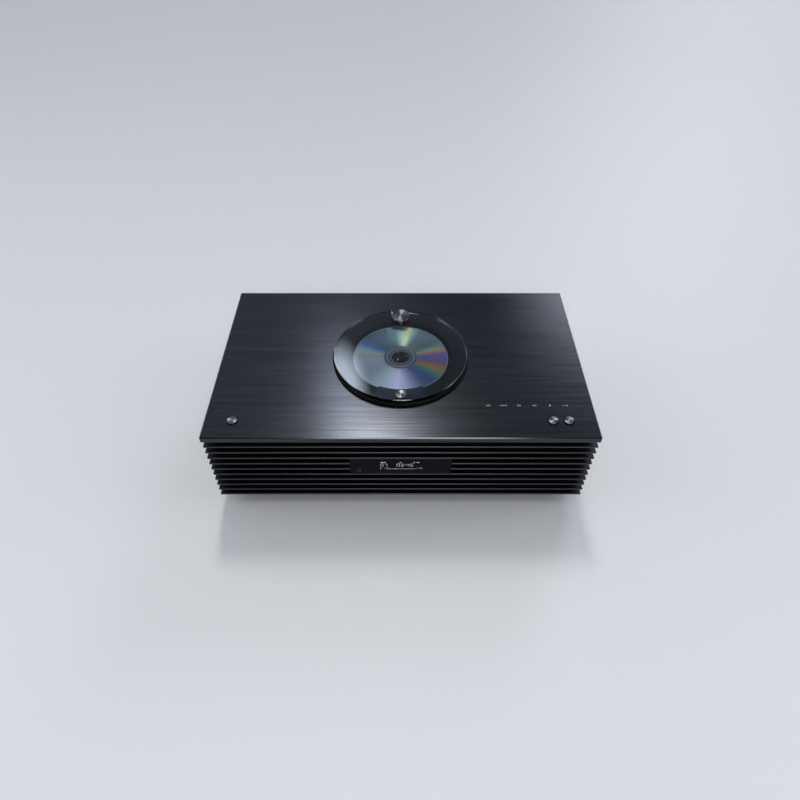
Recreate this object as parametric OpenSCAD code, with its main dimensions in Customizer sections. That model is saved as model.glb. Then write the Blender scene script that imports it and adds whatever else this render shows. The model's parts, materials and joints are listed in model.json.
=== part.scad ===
// All-in-one stereo console: a louvred cabinet under a thick metal top plate. A disc player sits
// in the plate under a round clear lid that swings aside, a woofer and a tweeter face the front on
// each side of a display window, and a subwoofer fires down through the base.
// Millimetres, +Z up and -Y to the front. The origin is on the table under the plate's middle.

/* [Top plate] */
// Width of the top plate
plate_w = 450; // [440:1:480]
// Depth of the top plate
plate_d = 265; // [260:1:290]
// Thickness of the top plate
plate_t = 7.5; // [6:0.5:10]
// Radius of the plate's upright corners
plate_corner_r = 1.5; // [0.5:0.5:4]
// Chamfer round the plate's upper edge
plate_chamfer = 1.2; // [0.3:0.1:2]

/* [Louvre fins] */
// Number of fins
fin_count = 10; // [9:1:12]
// Height from one fin to the next
fin_pitch = 10.37; // [9.5:0.01:12]
// Thickness of a fin
fin_t = 2; // [1.5:0.1:3]
// How far a fin reaches in from its edge
fin_depth = 14; // [11:0.5:16]
// Setback of the fins from the plate's front edge
fin_inset = 1.8; // [0.5:0.1:3]
// Setback of the fins from the plate's side edges
fin_side_inset = 0.3; // [0:0.1:3]
// Radius of the fins' upright corners
fin_corner_r = 0.6; // [0.3:0.1:3]
// Chamfer along the fins' upper outer edges
fin_chamfer = 0.4; // [0.2:0.1:1]
// Gap between the top fin and the plate
fin_top_gap = 10; // [8:0.1:12]
// Thickness of the upright ribs that join the fins
rib_t = 2.4; // [1.5:0.1:4]
// How far a rib stands out from the cabinet
rib_d = 4; // [3:0.5:7]
// Spacing of the ribs
rib_pitch = 56; // [40:1:80]

/* [Base and feet] */
// Radius of a rubber foot
foot_r = 15; // [10:0.5:20]
// Height of a rubber foot
foot_h = 8; // [6:0.5:12]
// Distance from the base's edges to a foot's centre
foot_inset = 30; // [24:1:50]
// Height of the base tray
base_h = 11.7; // [9:0.1:16]
// Setback of the base tray from the fins' edges
base_inset = 13; // [8:1:20]
// Wall of the base tray
base_wall = 3; // [2:0.5:4]
// Shank radius of the foot screws
foot_screw_r = 2; // [1.5:0.1:2.5]

/* [Cabinet] */
// Wall of the cabinet
wall = 4; // [3:0.5:6]
// Thickness of the front baffle
baffle_t = 6; // [4:0.5:9]
// Gap between the speaker cloth and the baffle
baffle_gap = 23; // [20:0.5:26]
// Thickness of the speaker cloth's panel
cloth_t = 1; // [0.6:0.1:2]
// Clear width of the middle bay
bay_w = 144; // [140:1:156]
// Depth of the speaker chambers
chamber_d = 146; // [130:1:150]
// Thickness of the rear panel
rear_t = 3; // [2:0.5:5]
// Setback of the rear panel from the plate's edge
rear_inset = 2.5; // [1:0.5:6]
// Shank radius of the rear screws
rear_screw_r = 1.5; // [1:0.1:1.8]

/* [Lid] */
// Radius of the clear lid
lid_r = 83; // [80:0.5:84]
// Thickness of the clear lid
lid_t = 5; // [3:0.5:8]
// Gap between the bezel and the grip plate that passes over it
lid_gap = 0.4; // [0.3:0.1:1]
// Distance from the disc's axis to the lid's pivot
pivot_offset = 69.8; // [69:0.1:70.4]
// Radius of the pivot shaft
pivot_r = 4; // [3:0.1:4.5]
// Length of the pivot bush below the bezel
bush_len = 16; // [12:1:22]
// Wall of the pivot bush
bush_wall = 2.5; // [1.5:0.1:2.8]
// Thickness of the pivot bush's flange
bush_flange_t = 0.5; // [0.3:0.1:0.6]
// Radius of the cap over the pivot
pivot_cap_r = 12.2; // [9:0.1:12.8]
// Height of the cap over the pivot
pivot_cap_h = 2.2; // [1.5:0.1:4]
// Distance from the disc's axis to the knob
knob_offset = 74.3; // [70:0.1:75]
// Radius of the knob
knob_r = 6.5; // [5:0.1:7.5]
// Height of the knob
knob_h = 2.4; // [1.5:0.1:5]
// Radius of the knob's stud
stud_r = 2; // [1.5:0.1:2.5]
// Thickness of the grip plate under the lid
grip_t = 0.8; // [0.5:0.1:1.2]
// Inner radius of the grip plate
grip_inner_r = 62; // [60:0.5:66]
// Outer radius of the grip plate
grip_outer_r = 80; // [77.5:0.5:80]
// Angle that the grip plate spans
grip_angle = 49; // [30:1:70]

/* [Disc well] */
// Outer radius of the bezel round the well
bezel_r = 85; // [84.5:0.5:90]
// Height of the bezel above the plate
bezel_h = 2.2; // [1.5:0.1:3.5]
// Overlap of the bezel on the plate
bezel_lap = 5.5; // [3:0.5:6]
// Gap between the disc's edge and the well's wall
well_gap = 3.5; // [2:0.1:3.8]
// Depth of the well's floor below the plate's upper face
well_depth = 9; // [8:0.1:12]
// Thickness of the well's walls and floor
well_t = 2.5; // [2:0.1:2.8]

/* [Disc player] */
// Radius of the disc
disc_r = 60; // [58:0.5:60]
// Radius of the disc's hole
disc_hole_r = 7.5; // [7:0.1:8]
// Thickness of the disc
disc_t = 1.2; // [1:0.1:1.5]
// Depth of the disc's upper face below the plate's upper face
disc_drop = 3.1; // [2.5:0.1:3.5]
// Radius of the turntable's platter
platter_r = 15; // [13:0.5:16]
// Thickness of the turntable's platter
platter_t = 2.6; // [2:0.1:3]
// Height of the turntable's boss above the disc
boss_h = 3; // [2.8:0.1:3.6]
// Radius of the three chuck balls
ball_r = 1.4; // [1:0.1:1.5]
// Radius of the spindle motor
motor_r = 11.5; // [9:0.5:12]
// Height of the spindle motor
motor_h = 8; // [6:0.5:8.5]
// Radius of the motor shafts
shaft_r = 1; // [0.8:0.1:1.5]
// Lens radius from the disc's axis with the sled fully in
lens_in = 23; // [22.5:0.5:24]
// Travel of the sled
sled_travel = 34; // [30:0.5:34]
// Width of the sled
sled_w = 44; // [42:1:46]
// Height of the sled
sled_h = 8; // [7:0.5:10]
// Radius of the lens turret
turret_r = 6; // [5:0.1:6.3]
// Radius of the guide rods
rod_r = 1.5; // [1.2:0.1:2]
// Distance of the guide rods from the lens's line
rod_offset = 16.5; // [16:0.5:17]
// Thickness of the player's chassis
chassis_t = 2; // [1.5:0.1:3]
// Radius of the rubber dampers
damper_r = 4.8; // [3.5:0.1:5]

/* [Feed gears] */
// Teeth of the gear that drives the rack
rack_gear_teeth = 14; // [13:1:15]
// Module of the rack and its gear
rack_module = 0.9; // [0.85:0.01:0.95]
// Teeth of the feed wheel
wheel_teeth = 40; // [36:1:42]
// Teeth of the feed motor's pinion
pinion_teeth = 12; // [12:1:14]
// Module of the feed wheel and its pinion
wheel_module = 0.8; // [0.75:0.01:0.85]
// Thickness of the feed wheel
wheel_t = 3; // [2:0.5:4]
// Radius of the feed motor
feed_motor_r = 8; // [6:0.5:9]
// Length of the feed motor
feed_motor_len = 12; // [8:1:16]

/* [Buttons] */
// Radius of a button
button_r = 6.5; // [5:0.1:8]
// Height of a button above the plate
button_proud = 1.2; // [1:0.1:2]
// Travel of a button
button_travel = 0.8; // [0.5:0.1:0.9]
// Distance from the plate's side edge to the nearest button's centre
button_edge_x = 32.8; // [31:0.1:40]
// Distance from the plate's front edge to the buttons' centres
button_edge_y = 25.8; // [25:0.1:27]
// Spacing of the two volume buttons
button_pitch = 18; // [17.5:0.5:24]
// Distance from the plate's front edge to the line of touch keys
touch_edge_y = 49.4; // [49:0.1:60]
// Number of touch keys
touch_count = 6; // [4:1:6]
// Spacing of the touch keys
touch_pitch = 18.05; // [15:0.01:20]

/* [Display] */
// Width of the display window
display_w = 120; // [100:1:130]
// Thickness of the display window
display_t = 4; // [3:0.5:6]
// Fins below the display window
display_low = 5; // [4:1:5]
// Fins that the display window interrupts
display_fins = 2; // [2:1:3]

/* [Woofers] */
// Distance of a woofer's axis from the middle
woofer_x = 121; // [119:1:124]
// Radius of a woofer's cone at its rim
woofer_rim_r = 30; // [26:0.5:31]
// Width of a woofer's surround
woofer_roll_w = 6.4; // [5:0.1:7]
// Depth of a woofer's basket
woofer_depth = 26; // [22:1:32]
// Voice coil radius of a woofer
woofer_coil_r = 10; // [8:0.5:12]
// Magnet radius of a woofer
woofer_magnet_r = 30; // [24:0.5:34]
// Magnet thickness of a woofer
woofer_magnet_t = 15; // [13:0.5:20]

/* [Tweeters] */
// Distance of a tweeter's axis from the middle
tweeter_x = 184; // [183:0.5:184.5]
// Radius of a tweeter's dome
tweeter_dome_r = 12.5; // [10:0.5:13]
// Flange width of a tweeter
tweeter_flange_w = 6.5; // [5:0.5:7]
// Depth of a tweeter behind the baffle
tweeter_depth = 14; // [10:1:20]

/* [Subwoofer] */
// Distance of the subwoofer's axis in front of the middle
sub_front = 20; // [16:1:22]
// Radius of the subwoofer's cone at its rim
sub_rim_r = 46; // [40:0.5:47]
// Width of the subwoofer's surround
sub_roll_w = 8.6; // [7:0.1:9]
// Depth of the subwoofer's basket
sub_depth = 30; // [24:1:32]
// Voice coil radius of the subwoofer
sub_coil_r = 14; // [11:0.5:16]
// Magnet radius of the subwoofer
sub_magnet_r = 40; // [32:0.5:44]
// Magnet thickness of the subwoofer
sub_magnet_t = 16; // [13:0.5:18]
// Radius of the base's opening under the subwoofer
sub_open_r = 58; // [50:0.5:60]
// Thickness of the guard over that opening
guard_t = 1.2; // [0.8:0.1:2]

/* [Sockets] */
// Width of the recess that holds the sockets
recess_w = 170; // [165:1:200]
// Height of the recess
recess_h = 34; // [28:1:40]
// Depth of the recess
recess_d = 14; // [12:0.5:16]
// Height of the recess's lower edge above the cabinet's floor
recess_up = 18; // [14:1:24]
// Distance of the recess's middle from the plate's middle
recess_x = 25; // [20:1:30]
// Spacing of the sockets in the recess
socket_pitch = 27; // [26.5:0.5:28]
// Radius of the plug hole of a round jack
jack_r = 1.8; // [1.8:0.05:3.2]
// Radius of the aerial socket's thread
aerial_r = 4.75; // [4:0.05:5]
// Distance of the mains inlet from the middle
inlet_x = 150; // [130:1:175]

/* [Hidden] */
$fn = 96;

// Clearances: a running fit, a loose fit, and a free gap between parts that pass each other
running = 0.05;
loose = 0.2;
free = 1;

// Levels, from the table up
cabinet_z = foot_h + base_h;
floor_z = cabinet_z + wall;
plate_z = cabinet_z + (fin_count - 1)*fin_pitch + fin_t + fin_top_gap;
plate_top = plate_z + plate_t;
bezel_top = plate_top + bezel_h;
lid_z = bezel_top + lid_gap + grip_t;
lid_top = lid_z + lid_t;
disc_top = plate_top - disc_drop;
disc_z = disc_top - disc_t;
well_floor = plate_top - well_depth;
well_under = well_floor - well_t;

// Plan of the outer skin and of the cabinet inside it
skin_w = plate_w - 2*fin_side_inset;
front_y = -plate_d/2 + fin_inset;
cabinet_w = skin_w - 2*fin_depth;
cabinet_front = front_y + fin_depth;
inner_w = cabinet_w - 2*wall;
baffle_front = cabinet_front + cloth_t + baffle_gap;
baffle_back = baffle_front + baffle_t;
chamber_back = baffle_back + chamber_d;
rear_out = plate_d/2 - rear_inset;
rear_in = rear_out - rear_t;
base_w = skin_w - 2*base_inset;
base_d = plate_d - 2*(fin_inset + base_inset);
foot_x = base_w/2 - foot_inset;
foot_y = base_d/2 - foot_inset;
base_corner_r = 8;

// Base, feet and screws
tray_z = foot_h + base_wall;
foot_boss_r = foot_screw_r + 4;
foot_rim = 1.2;
foot_sink = foot_h/2;
screw_head = 1.9;
foot_head_r = screw_head*foot_screw_r;
foot_head_t = 2.2;
rear_head_r = screw_head*rear_screw_r;
rear_head_t = min(1.6, rear_inset - 0.3);
rear_screw_len = 7;
rear_screw_inset = 15.8;
guard_lap = 5;
guard_slot = 4.5;
guard_pitch = 8;

// Well and bezel
well_r = disc_r + well_gap;
seat_r = bezel_r - bezel_lap;
bezel_edge = 0.5;
bezel_web = 3;

// Lid pivot
bush_r = pivot_r + running + bush_wall;
bush_bottom = bezel_top - bush_len;
pivot_boss_wall = 2.2;
clip_t = 1;
clip_w = 3;
clip_groove = 0.5;

// Turntable: the boss centres the disc, and the balls hold it down
boss_r = disc_hole_r - 0.1;
boss_rim = 0.8;
ball_ring_r = boss_r - boss_rim;
ball_z = disc_top + ball_r + 0.2;
hub_r = 5;
motor_flange = 2;

// Player under the well
sled_clear = 1;
wheel_gap = 1.5;
collar_h = 1;
sled_top = well_under - sled_clear;
sled_z = sled_top - sled_h;
wheel_top = sled_z - wheel_gap;
wheel_z = wheel_top - wheel_t;
chassis_top = wheel_z - collar_h;
chassis_z = chassis_top - chassis_t;
rod_z = sled_z + sled_h/2;
sled_nose = 14;
sled_tail = 9;
post_t = 5;
post_w = 6;
post_in = -lens_in + sled_tail + 2;
post_out = -lens_in - sled_travel - sled_nose - 2;
turret_top = disc_z - 2;
damper_ring_r = well_r + well_t - damper_r - 1;
damper_angles = [36, 144, 217, 337];
chassis_x = bay_w/2 - 8;
chassis_back = 46;
chassis_front = post_out - post_t - 2;

// Feed gears: stub teeth with a little slack, in mesh with the sled at its inner stop
addendum = 0.75;
dedendum = 1.05;
pressure = 20;
tooth_slack = 0.2;
rack_gear_r = rack_gear_teeth*rack_module/2;
wheel_r = wheel_teeth*wheel_module/2;
pinion_r = pinion_teeth*wheel_module/2;
rack_web = 3;
rack_x = sled_w/2 + rack_web + dedendum*rack_module;
feed_x = rack_x + rack_gear_r;
feed_y = -lens_in - (sled_nose - sled_tail)/2 - sled_travel/2;
pinion_x = feed_x + wheel_r + pinion_r;
axle_r = 1.5;

// Buttons and their boards
power_x = -plate_w/2 + button_edge_x;
volume_x = plate_w/2 - button_edge_x;
button_y = -plate_d/2 + button_edge_y;
button_gap = 0.3;
button_flange_w = 2;
button_flange_t = 1.5;
stem_r = 2.5;
stem_len = 6;
switch_w = 6;
switch_h = 3.5;
plunger_r = 1.7;
plunger_h = 2;
pillar_r = 2;
board_t = 1.6;
board_margin = 12;
board_d = 17;
stem_z = plate_z - stem_len;
plunger_top = stem_z - button_travel - running;
board_top = plunger_top - plunger_h - switch_h;
touch_y = -plate_d/2 + touch_edge_y;
touch_board_d = 10;
touch_margin = 10;

// Display
window_z0 = fin_z(display_low - 1) + fin_t + loose;
window_z1 = fin_z(display_low + display_fins) - loose;
housing_wall = 2;
housing_inset = 2;
panel_t = 3;

// Speaker drivers
flange_t = 2.5;
flange_w = 4;
basket_t = 1.6;
lip_t = 0.7;
lip_w = 2.2;
rim_gap = 0.3;
coil_gap = 0.8;
coil_t = 0.6;
cone_t = 0.9;
coil_tail = 15;
roll_lip = 0.5;
roll_lap = 0.6;
neck_share = 0.68;
back_share = 0.78;
window_share = 0.6;
cap_rise = 0.45;
cap_lap = 2;
dome_rise = 0.34;
dome_seat = 0.2;
woofer_z = (floor_z + plate_z)/2;
tweeter_z = woofer_z;
sub_y = -sub_front;

// Boards, sockets and the recess in the rear panel
recess_t = 2.5;
recess_z = floor_z + recess_up;
recess_floor = rear_in - recess_d;
board_z = recess_z + 3;
socket_z = board_z + board_t;
rear_board_y = chamber_back + wall + 4;
rear_board_d = recess_floor - rear_board_y - 2;
side_board_z = floor_z + 10;
side_board_w = 112;
side_board_d = rear_in - rear_board_y - 6;
side_board_top = side_board_z + board_t;
power_board_x = -(inner_w - side_board_w)/2 + 4;
amp_board_w = 64;
amp_x = inner_w/2 - amp_board_w/2 - 6;
spacer_r = 3.5;
spacer_inset = 6;
socket_count = 6;
network_size = [16, 18, 13.5];
network_mouth = [11.8, 12, 8.2];
usb_size = [14.6, 17, 7.6];
usb_mouth = [12.6, 10, 5.2];
optical_size = [12, 15, 10.5];
optical_mouth = [6.6, 8, 6.6];
jack_size = [12, 14, 11];
jack_nose_r = jack_r + 2.2;
jack_proud = 1;
jack_depth = 15;
aerial_size = [14, 12, 12];
aerial_nut_r = aerial_r + 2.2;
aerial_nut_t = 2;
aerial_len = 8;
sink_size = [48, 30, 32];
sink_base = 4;
sink_fin = 2;
sink_fins = 8;
inlet_size = [22.5, 24, 14.5];
inlet_lobe_r = 4.1;
inlet_pin_gap = 8.6;
inlet_pin_r = 1.2;
inlet_depth = 14;
inlet_pin_len = 9;

function fin_z(k) = cabinet_z + k*fin_pitch;

function arc(c, r, a0, a1, n = 6) =
    [for (i = [0 : n]) let (a = a0 + (a1 - a0)*i/n) [c.x + r*cos(a), c.y + r*sin(a)]];

function rounded_outline(w, d, r) = concat(
    arc([w/2 - r, d/2 - r], r, 0, 90),
    arc([-w/2 + r, d/2 - r], r, 90, 180),
    arc([-w/2 + r, -d/2 + r], r, 180, 270),
    arc([w/2 - r, -d/2 + r], r, 270, 360));

// Angle in degrees that an involute has turned at radius r
function involute(base_r, r) = let (a = acos(base_r/r)) tan(a)*180/PI - a;

// A gear with its first tooth centred on the X axis: two involute flanks a tooth, root to tip to root
function gear_outline(teeth, m) =
    let (
        pitch_r = teeth*m/2,
        base_r = pitch_r*cos(pressure),
        root_r = pitch_r - dedendum*m,
        foot = max(root_r, base_r),
        tip_r = pitch_r + addendum*m,
        half = 90/teeth - tooth_slack/(2*pitch_r)*180/PI + involute(base_r, pitch_r),
        radii = [root_r, foot + (root_r < base_r ? 0 : 0.1), pitch_r, tip_r],
        turns = [for (r = radii) half - involute(base_r, max(r, base_r))])
    [for (i = [0 : teeth - 1], s = [-1, 1], k = [0 : 3])
        let (j = s < 0 ? k : 3 - k, a = i*360/teeth + s*turns[j])
        [radii[j]*cos(a), radii[j]*sin(a)]];

// Rack teeth along Y, facing +X from the pitch line at x = 0, with a space at y = 0
function rack_outline(m, half_len) =
    let (
        step = PI*m,
        count = floor(half_len/step - 0.5),
        half = step/4 - tooth_slack/2,
        tip = half - addendum*m*tan(pressure),
        root = half + dedendum*m*tan(pressure))
    concat(
        [[-dedendum*m - rack_web - 1, -half_len], [-dedendum*m, -half_len]],
        [for (i = [-count - 1 : count], p = [[0, -root], [1, -tip], [1, tip], [0, root]])
            [p.x > 0 ? addendum*m : -dedendum*m, (i + 0.5)*step + p.y]],
        [[-dedendum*m, half_len], [-dedendum*m - rack_web - 1, half_len]]);

module block(lo, hi) {
    translate(lo) cube(hi - lo);
}

module slab(z0, z1) {
    translate([0, 0, z0]) linear_extrude(z1 - z0) children();
}

module ring(r_in, r_out, z0, z1) {
    translate([0, 0, z0]) difference() {
        cylinder(r = r_out, h = z1 - z0);
        translate([0, 0, -free]) cylinder(r = r_in, h = z1 - z0 + 2*free);
    }
}

module drill(r, z0, z1) {
    translate([0, 0, z0]) cylinder(r = r, h = z1 - z0);
}

module at_corners(x, y) {
    for (sx = [-1, 1], sy = [-1, 1]) translate([sx*x, sy*y, 0]) children();
}

module at_pivot() {
    translate([0, pivot_offset, 0]) children();
}

module at_knob() {
    translate([0, -knob_offset, 0]) children();
}

module at_buttons() {
    for (x = [power_x, volume_x - button_pitch, volume_x]) translate([x, button_y, 0]) children();
}

module at_rear_screws() {
    for (sx = [-1, 1], z = [cabinet_z + rear_screw_inset, plate_z - rear_screw_inset])
        translate([sx*(cabinet_w - wall)/2, 0, z]) children();
}

// Places a driver so that its front is +Z and its flange seats at z = 0
module facing_front(x, z) {
    translate([x, baffle_front, z]) rotate([90, 0, 0]) children();
}

module facing_down() {
    translate([0, sub_y, cabinet_z]) rotate([180, 0, 0]) children();
}

// A bar along X that takes a chamfer off the straight edge it is laid on
module chamfer_bar(length, size) {
    side = size*sqrt(2);
    rotate([45, 0, 0]) cube([length, side, side], center = true);
}

// Top plate: brushed metal with chamfered upper edges, bored for the well and the buttons
module top_plate() {
    color("#26282d") difference() {
        slab(plate_z, plate_top) polygon(rounded_outline(plate_w, plate_d, plate_corner_r));
        for (s = [-1, 1]) {
            translate([0, s*plate_d/2, plate_top]) chamfer_bar(plate_w + free, plate_chamfer);
            translate([s*plate_w/2, 0, plate_top]) rotate([0, 0, 90])
                chamfer_bar(plate_d + free, plate_chamfer);
        }
        drill(seat_r + loose, plate_z - free, plate_top + free);
        at_buttons() drill(button_r + button_gap, plate_z - free, plate_top + free);
    }
}

module fin_outline() {
    r = fin_corner_r;
    difference() {
        polygon(concat(
            [[-skin_w/2, rear_in]],
            arc([-skin_w/2 + r, front_y + r], r, 180, 270),
            arc([skin_w/2 - r, front_y + r], r, 270, 360),
            [[skin_w/2, rear_in]]));
        translate([-cabinet_w/2, cabinet_front]) square([cabinet_w, plate_d]);
    }
}

// One fin with its lower face at z = 0, chamfered along its upper outer edges
module fin() {
    side_len = rear_in - front_y;
    difference() {
        slab(0, fin_t) fin_outline();
        translate([0, front_y, fin_t]) chamfer_bar(skin_w + free, fin_chamfer);
        for (s = [-1, 1]) translate([s*skin_w/2, front_y + side_len/2, fin_t]) rotate([0, 0, 90])
            chamfer_bar(side_len + 2*free, fin_chamfer);
    }
}

// Louvres: fins that wrap the front and both sides, joined by upright ribs against the cabinet
module louvre_grille() {
    rib_top = fin_z(fin_count - 1) + fin_t;
    side_len = rear_in - cabinet_front;
    front_ribs = floor((cabinet_w/2 - display_w/2)/rib_pitch);
    side_ribs = floor(side_len/rib_pitch);
    color("#1b1c1f") difference() {
        union() {
            for (k = [0 : fin_count - 1]) translate([0, 0, fin_z(k)]) fin();
            for (s = [-1, 1], i = [0 : front_ribs - 1])
                translate([s*(cabinet_w/2 - (i + 0.5)*rib_pitch) - rib_t/2, cabinet_front - rib_d, cabinet_z])
                    cube([rib_t, rib_d, rib_top - cabinet_z]);
            for (s = [-1, 1], i = [0 : side_ribs - 1])
                translate([s*(cabinet_w + rib_d)/2 - rib_d/2, cabinet_front + (i + 0.5)*rib_pitch, cabinet_z])
                    cube([rib_d, rib_t, rib_top - cabinet_z]);
        }
        block(
            [-display_w/2 - loose, front_y - free, fin_z(display_low - 1) + fin_t],
            [display_w/2 + loose, cabinet_front + free, fin_z(display_low + display_fins)]);
    }
}

module spacer(x, y, z1) {
    translate([x, y, floor_z]) cylinder(r = spacer_r, h = z1 - floor_z);
}

module board_spacers(x, w, y, d, z1) {
    for (sx = [-1, 1], t = [spacer_inset, d - spacer_inset])
        spacer(x + sx*(w/2 - spacer_inset), y + t, z1);
}

// Cabinet: floor, side walls, the walls of both speaker chambers, and spacers for the boards
module cabinet_shell() {
    color("#17181a") difference() {
        union() {
            block([-cabinet_w/2, cabinet_front, cabinet_z], [cabinet_w/2, rear_in, floor_z]);
            for (s = [-1, 1]) {
                translate([s*(cabinet_w - wall)/2 - wall/2, cabinet_front, cabinet_z])
                    cube([wall, rear_in - cabinet_front, plate_z - cabinet_z]);
                translate([s*(bay_w + wall)/2 - wall/2, baffle_back, floor_z])
                    cube([wall, chamber_d + wall, plate_z - floor_z]);
                translate([s*(bay_w + inner_w)/4 - (inner_w - bay_w)/4, chamber_back, floor_z])
                    cube([(inner_w - bay_w)/2, wall, plate_z - floor_z]);
            }
            board_spacers(recess_x, recess_w, rear_board_y, rear_board_d, board_z);
            board_spacers(power_board_x, side_board_w, rear_board_y, side_board_d, side_board_z);
            board_spacers(amp_x, amp_board_w, rear_board_y, side_board_d, side_board_z);
        }
        translate([0, sub_y, 0])
            drill(driver_cut(sub_rim_r, sub_roll_w) + loose, cabinet_z - free, floor_z + free);
        at_corners(foot_x, foot_y) drill(foot_screw_r + running, cabinet_z - free, floor_z - free);
        at_rear_screws() along_y(rear_screw_r + running, rear_in - rear_screw_len - free, rear_in + free, 0);
    }
}

// Baffle: carries the front speakers and closes the chambers
module front_baffle() {
    color("#202124") difference() {
        block([-inner_w/2, baffle_front, floor_z], [inner_w/2, baffle_back, plate_z]);
        for (s = [-1, 1]) {
            facing_front(s*woofer_x, woofer_z)
                drill(driver_cut(woofer_rim_r, woofer_roll_w) + loose, -baffle_t - free, free);
            facing_front(s*tweeter_x, tweeter_z)
                drill(tweeter_body_r() + loose, -baffle_t - free, free);
        }
    }
}

// Speaker cloth on its panel, cut out round the display's housing
module speaker_cloth() {
    color("#0c0c0d") difference() {
        block([-inner_w/2, cabinet_front, floor_z], [inner_w/2, cabinet_front + cloth_t, plate_z]);
        housing_block(cabinet_front - free, cabinet_front + cloth_t + free, -loose);
    }
}

module socket_at(i) {
    translate([recess_x + (i - (socket_count - 1)/2)*socket_pitch, recess_floor + recess_t, socket_z])
        children();
}

// A socket's body behind the recess's face, centred in x and standing on its board
module socket_body(size, grow = 0) {
    translate([-size.x/2 - grow, -size.y, -grow]) cube([size.x + 2*grow, size.y, size.z + 2*grow]);
}

module socket_mouth(size, mouth) {
    translate([-mouth.x/2, -mouth.y, (size.z - mouth.z)/2]) cube([mouth.x, mouth.y + free, mouth.z]);
}

// A round nose, hole or stem that runs out of the recess along +Y, at a jack's height
module along_y(r, y0, y1, up) {
    translate([0, y0, up]) rotate([-90, 0, 0]) cylinder(r = r, h = y1 - y0);
}

// Rear panel with a sunk recess for the sockets, a hole for the mains inlet and a bank of vents
module rear_panel() {
    vent_count = 9;
    vent_pitch = 7;
    vent_w = 3;
    vent_h = 30;
    recess_lo = [recess_x - recess_w/2, recess_floor, recess_z];
    recess_hi = [recess_x + recess_w/2, rear_out, recess_z + recess_h];
    skirt = [recess_t, 0, recess_t];
    color("#1a1b1d") difference() {
        union() {
            block([-skin_w/2, rear_in, cabinet_z], [skin_w/2, rear_out, plate_z]);
            block(recess_lo - skirt, recess_hi + skirt);
        }
        block(recess_lo + [0, recess_t, 0], recess_hi + [0, free, 0]);
        socket_at(1) socket_body(network_size, loose);
        socket_at(2) socket_body(usb_size, loose);
        socket_at(3) socket_body(optical_size, loose);
        for (i = [4, 5]) socket_at(i)
            along_y(jack_nose_r + loose, -recess_t - free, free, jack_size.z/2);
        socket_at(0) along_y(aerial_r + loose, -recess_t - free, free, aerial_size.z/2);
        at_inlet() socket_body(inlet_size, loose);
        at_rear_screws() along_y(rear_screw_r + loose, rear_in - free, rear_out + free, 0);
        for (i = [0 : vent_count - 1])
            translate([amp_x + (i - (vent_count - 1)/2)*vent_pitch - vent_w/2, rear_in - free, recess_z])
                cube([vent_w, rear_t + 2*free, vent_h]);
    }
}

// Base tray: a shallow set-back tray with a boss over each foot and an opening for the subwoofer
module base_tray() {
    color("#151617") difference() {
        union() {
            difference() {
                slab(foot_h, cabinet_z) polygon(rounded_outline(base_w, base_d, base_corner_r));
                slab(tray_z, cabinet_z + free) polygon(rounded_outline(
                    base_w - 2*base_wall, base_d - 2*base_wall, base_corner_r - base_wall));
            }
            at_corners(foot_x, foot_y) drill(foot_boss_r, foot_h, cabinet_z);
        }
        translate([0, sub_y, 0]) drill(sub_open_r, foot_h - free, tray_z + free);
        at_corners(foot_x, foot_y) drill(foot_screw_r + loose, foot_h - free, cabinet_z + free);
    }
}

// Guard: a slotted disc that lies on the tray over the opening
module subwoofer_guard() {
    slots = floor((sub_open_r - guard_slot)/guard_pitch);
    color("#2a2b2d") translate([0, sub_y, 0]) difference() {
        drill(sub_open_r + guard_lap, tray_z, tray_z + guard_t);
        for (i = [-slots : slots]) {
            half = sqrt(pow(sub_open_r - guard_slot/2, 2) - pow(abs(i)*guard_pitch + guard_slot/2, 2));
            translate([i*guard_pitch - guard_slot/2, -half, tray_z - free])
                cube([guard_slot, 2*half, guard_t + 2*free]);
        }
    }
}

// Feet: rubber pads with a chamfered rim and a sunk hole for the screw
module feet() {
    color("#101011") at_corners(foot_x, foot_y) difference() {
        rotate_extrude() polygon([
            [0, 0], [foot_r - foot_rim, 0], [foot_r, foot_rim], [foot_r, foot_h], [0, foot_h]]);
        drill(foot_head_r + 3*loose, -free, foot_sink);
        drill(foot_screw_r + loose, 0, foot_h + free);
    }
}

module foot_screws() {
    color("#8a8c90") at_corners(foot_x, foot_y) {
        drill(foot_head_r, foot_sink - foot_head_t, foot_sink);
        drill(foot_screw_r, foot_sink, floor_z - free - running);
    }
}

module rear_screws() {
    color("#2c2d30") at_rear_screws() {
        along_y(rear_head_r, rear_out, rear_out + rear_head_t, 0);
        along_y(rear_screw_r, rear_in - rear_screw_len, rear_out, 0);
    }
}

// Lid: a clear disc with softened rims, bored for the pivot and the knob's stud
module lid() {
    rim = 0.6;
    color("#9fb0bb", 0.4) difference() {
        rotate_extrude() polygon([
            [0, lid_z], [lid_r - rim, lid_z], [lid_r, lid_z + rim],
            [lid_r, lid_top - rim], [lid_r - rim, lid_top], [0, lid_top]]);
        at_pivot() drill(pivot_r + running, lid_z - free, lid_top + free);
        at_knob() drill(stud_r + running, lid_z - free, lid_top + free);
    }
}

// Grip plate: a thin dark arc under the lid's front that the knob's stud clamps
module lid_grip_plate() {
    reach = grip_outer_r*2;
    half = grip_angle/2;
    color("#0d0d0e") difference() {
        intersection() {
            ring(grip_inner_r, grip_outer_r, lid_z - grip_t, lid_z);
            slab(lid_z - grip_t - free, lid_z + free)
                polygon([[0, 0], reach*[-sin(half), -cos(half)], reach*[sin(half), -cos(half)]]);
        }
        at_knob() drill(stud_r + running, lid_z - grip_t - free, lid_z + free);
    }
}

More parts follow.
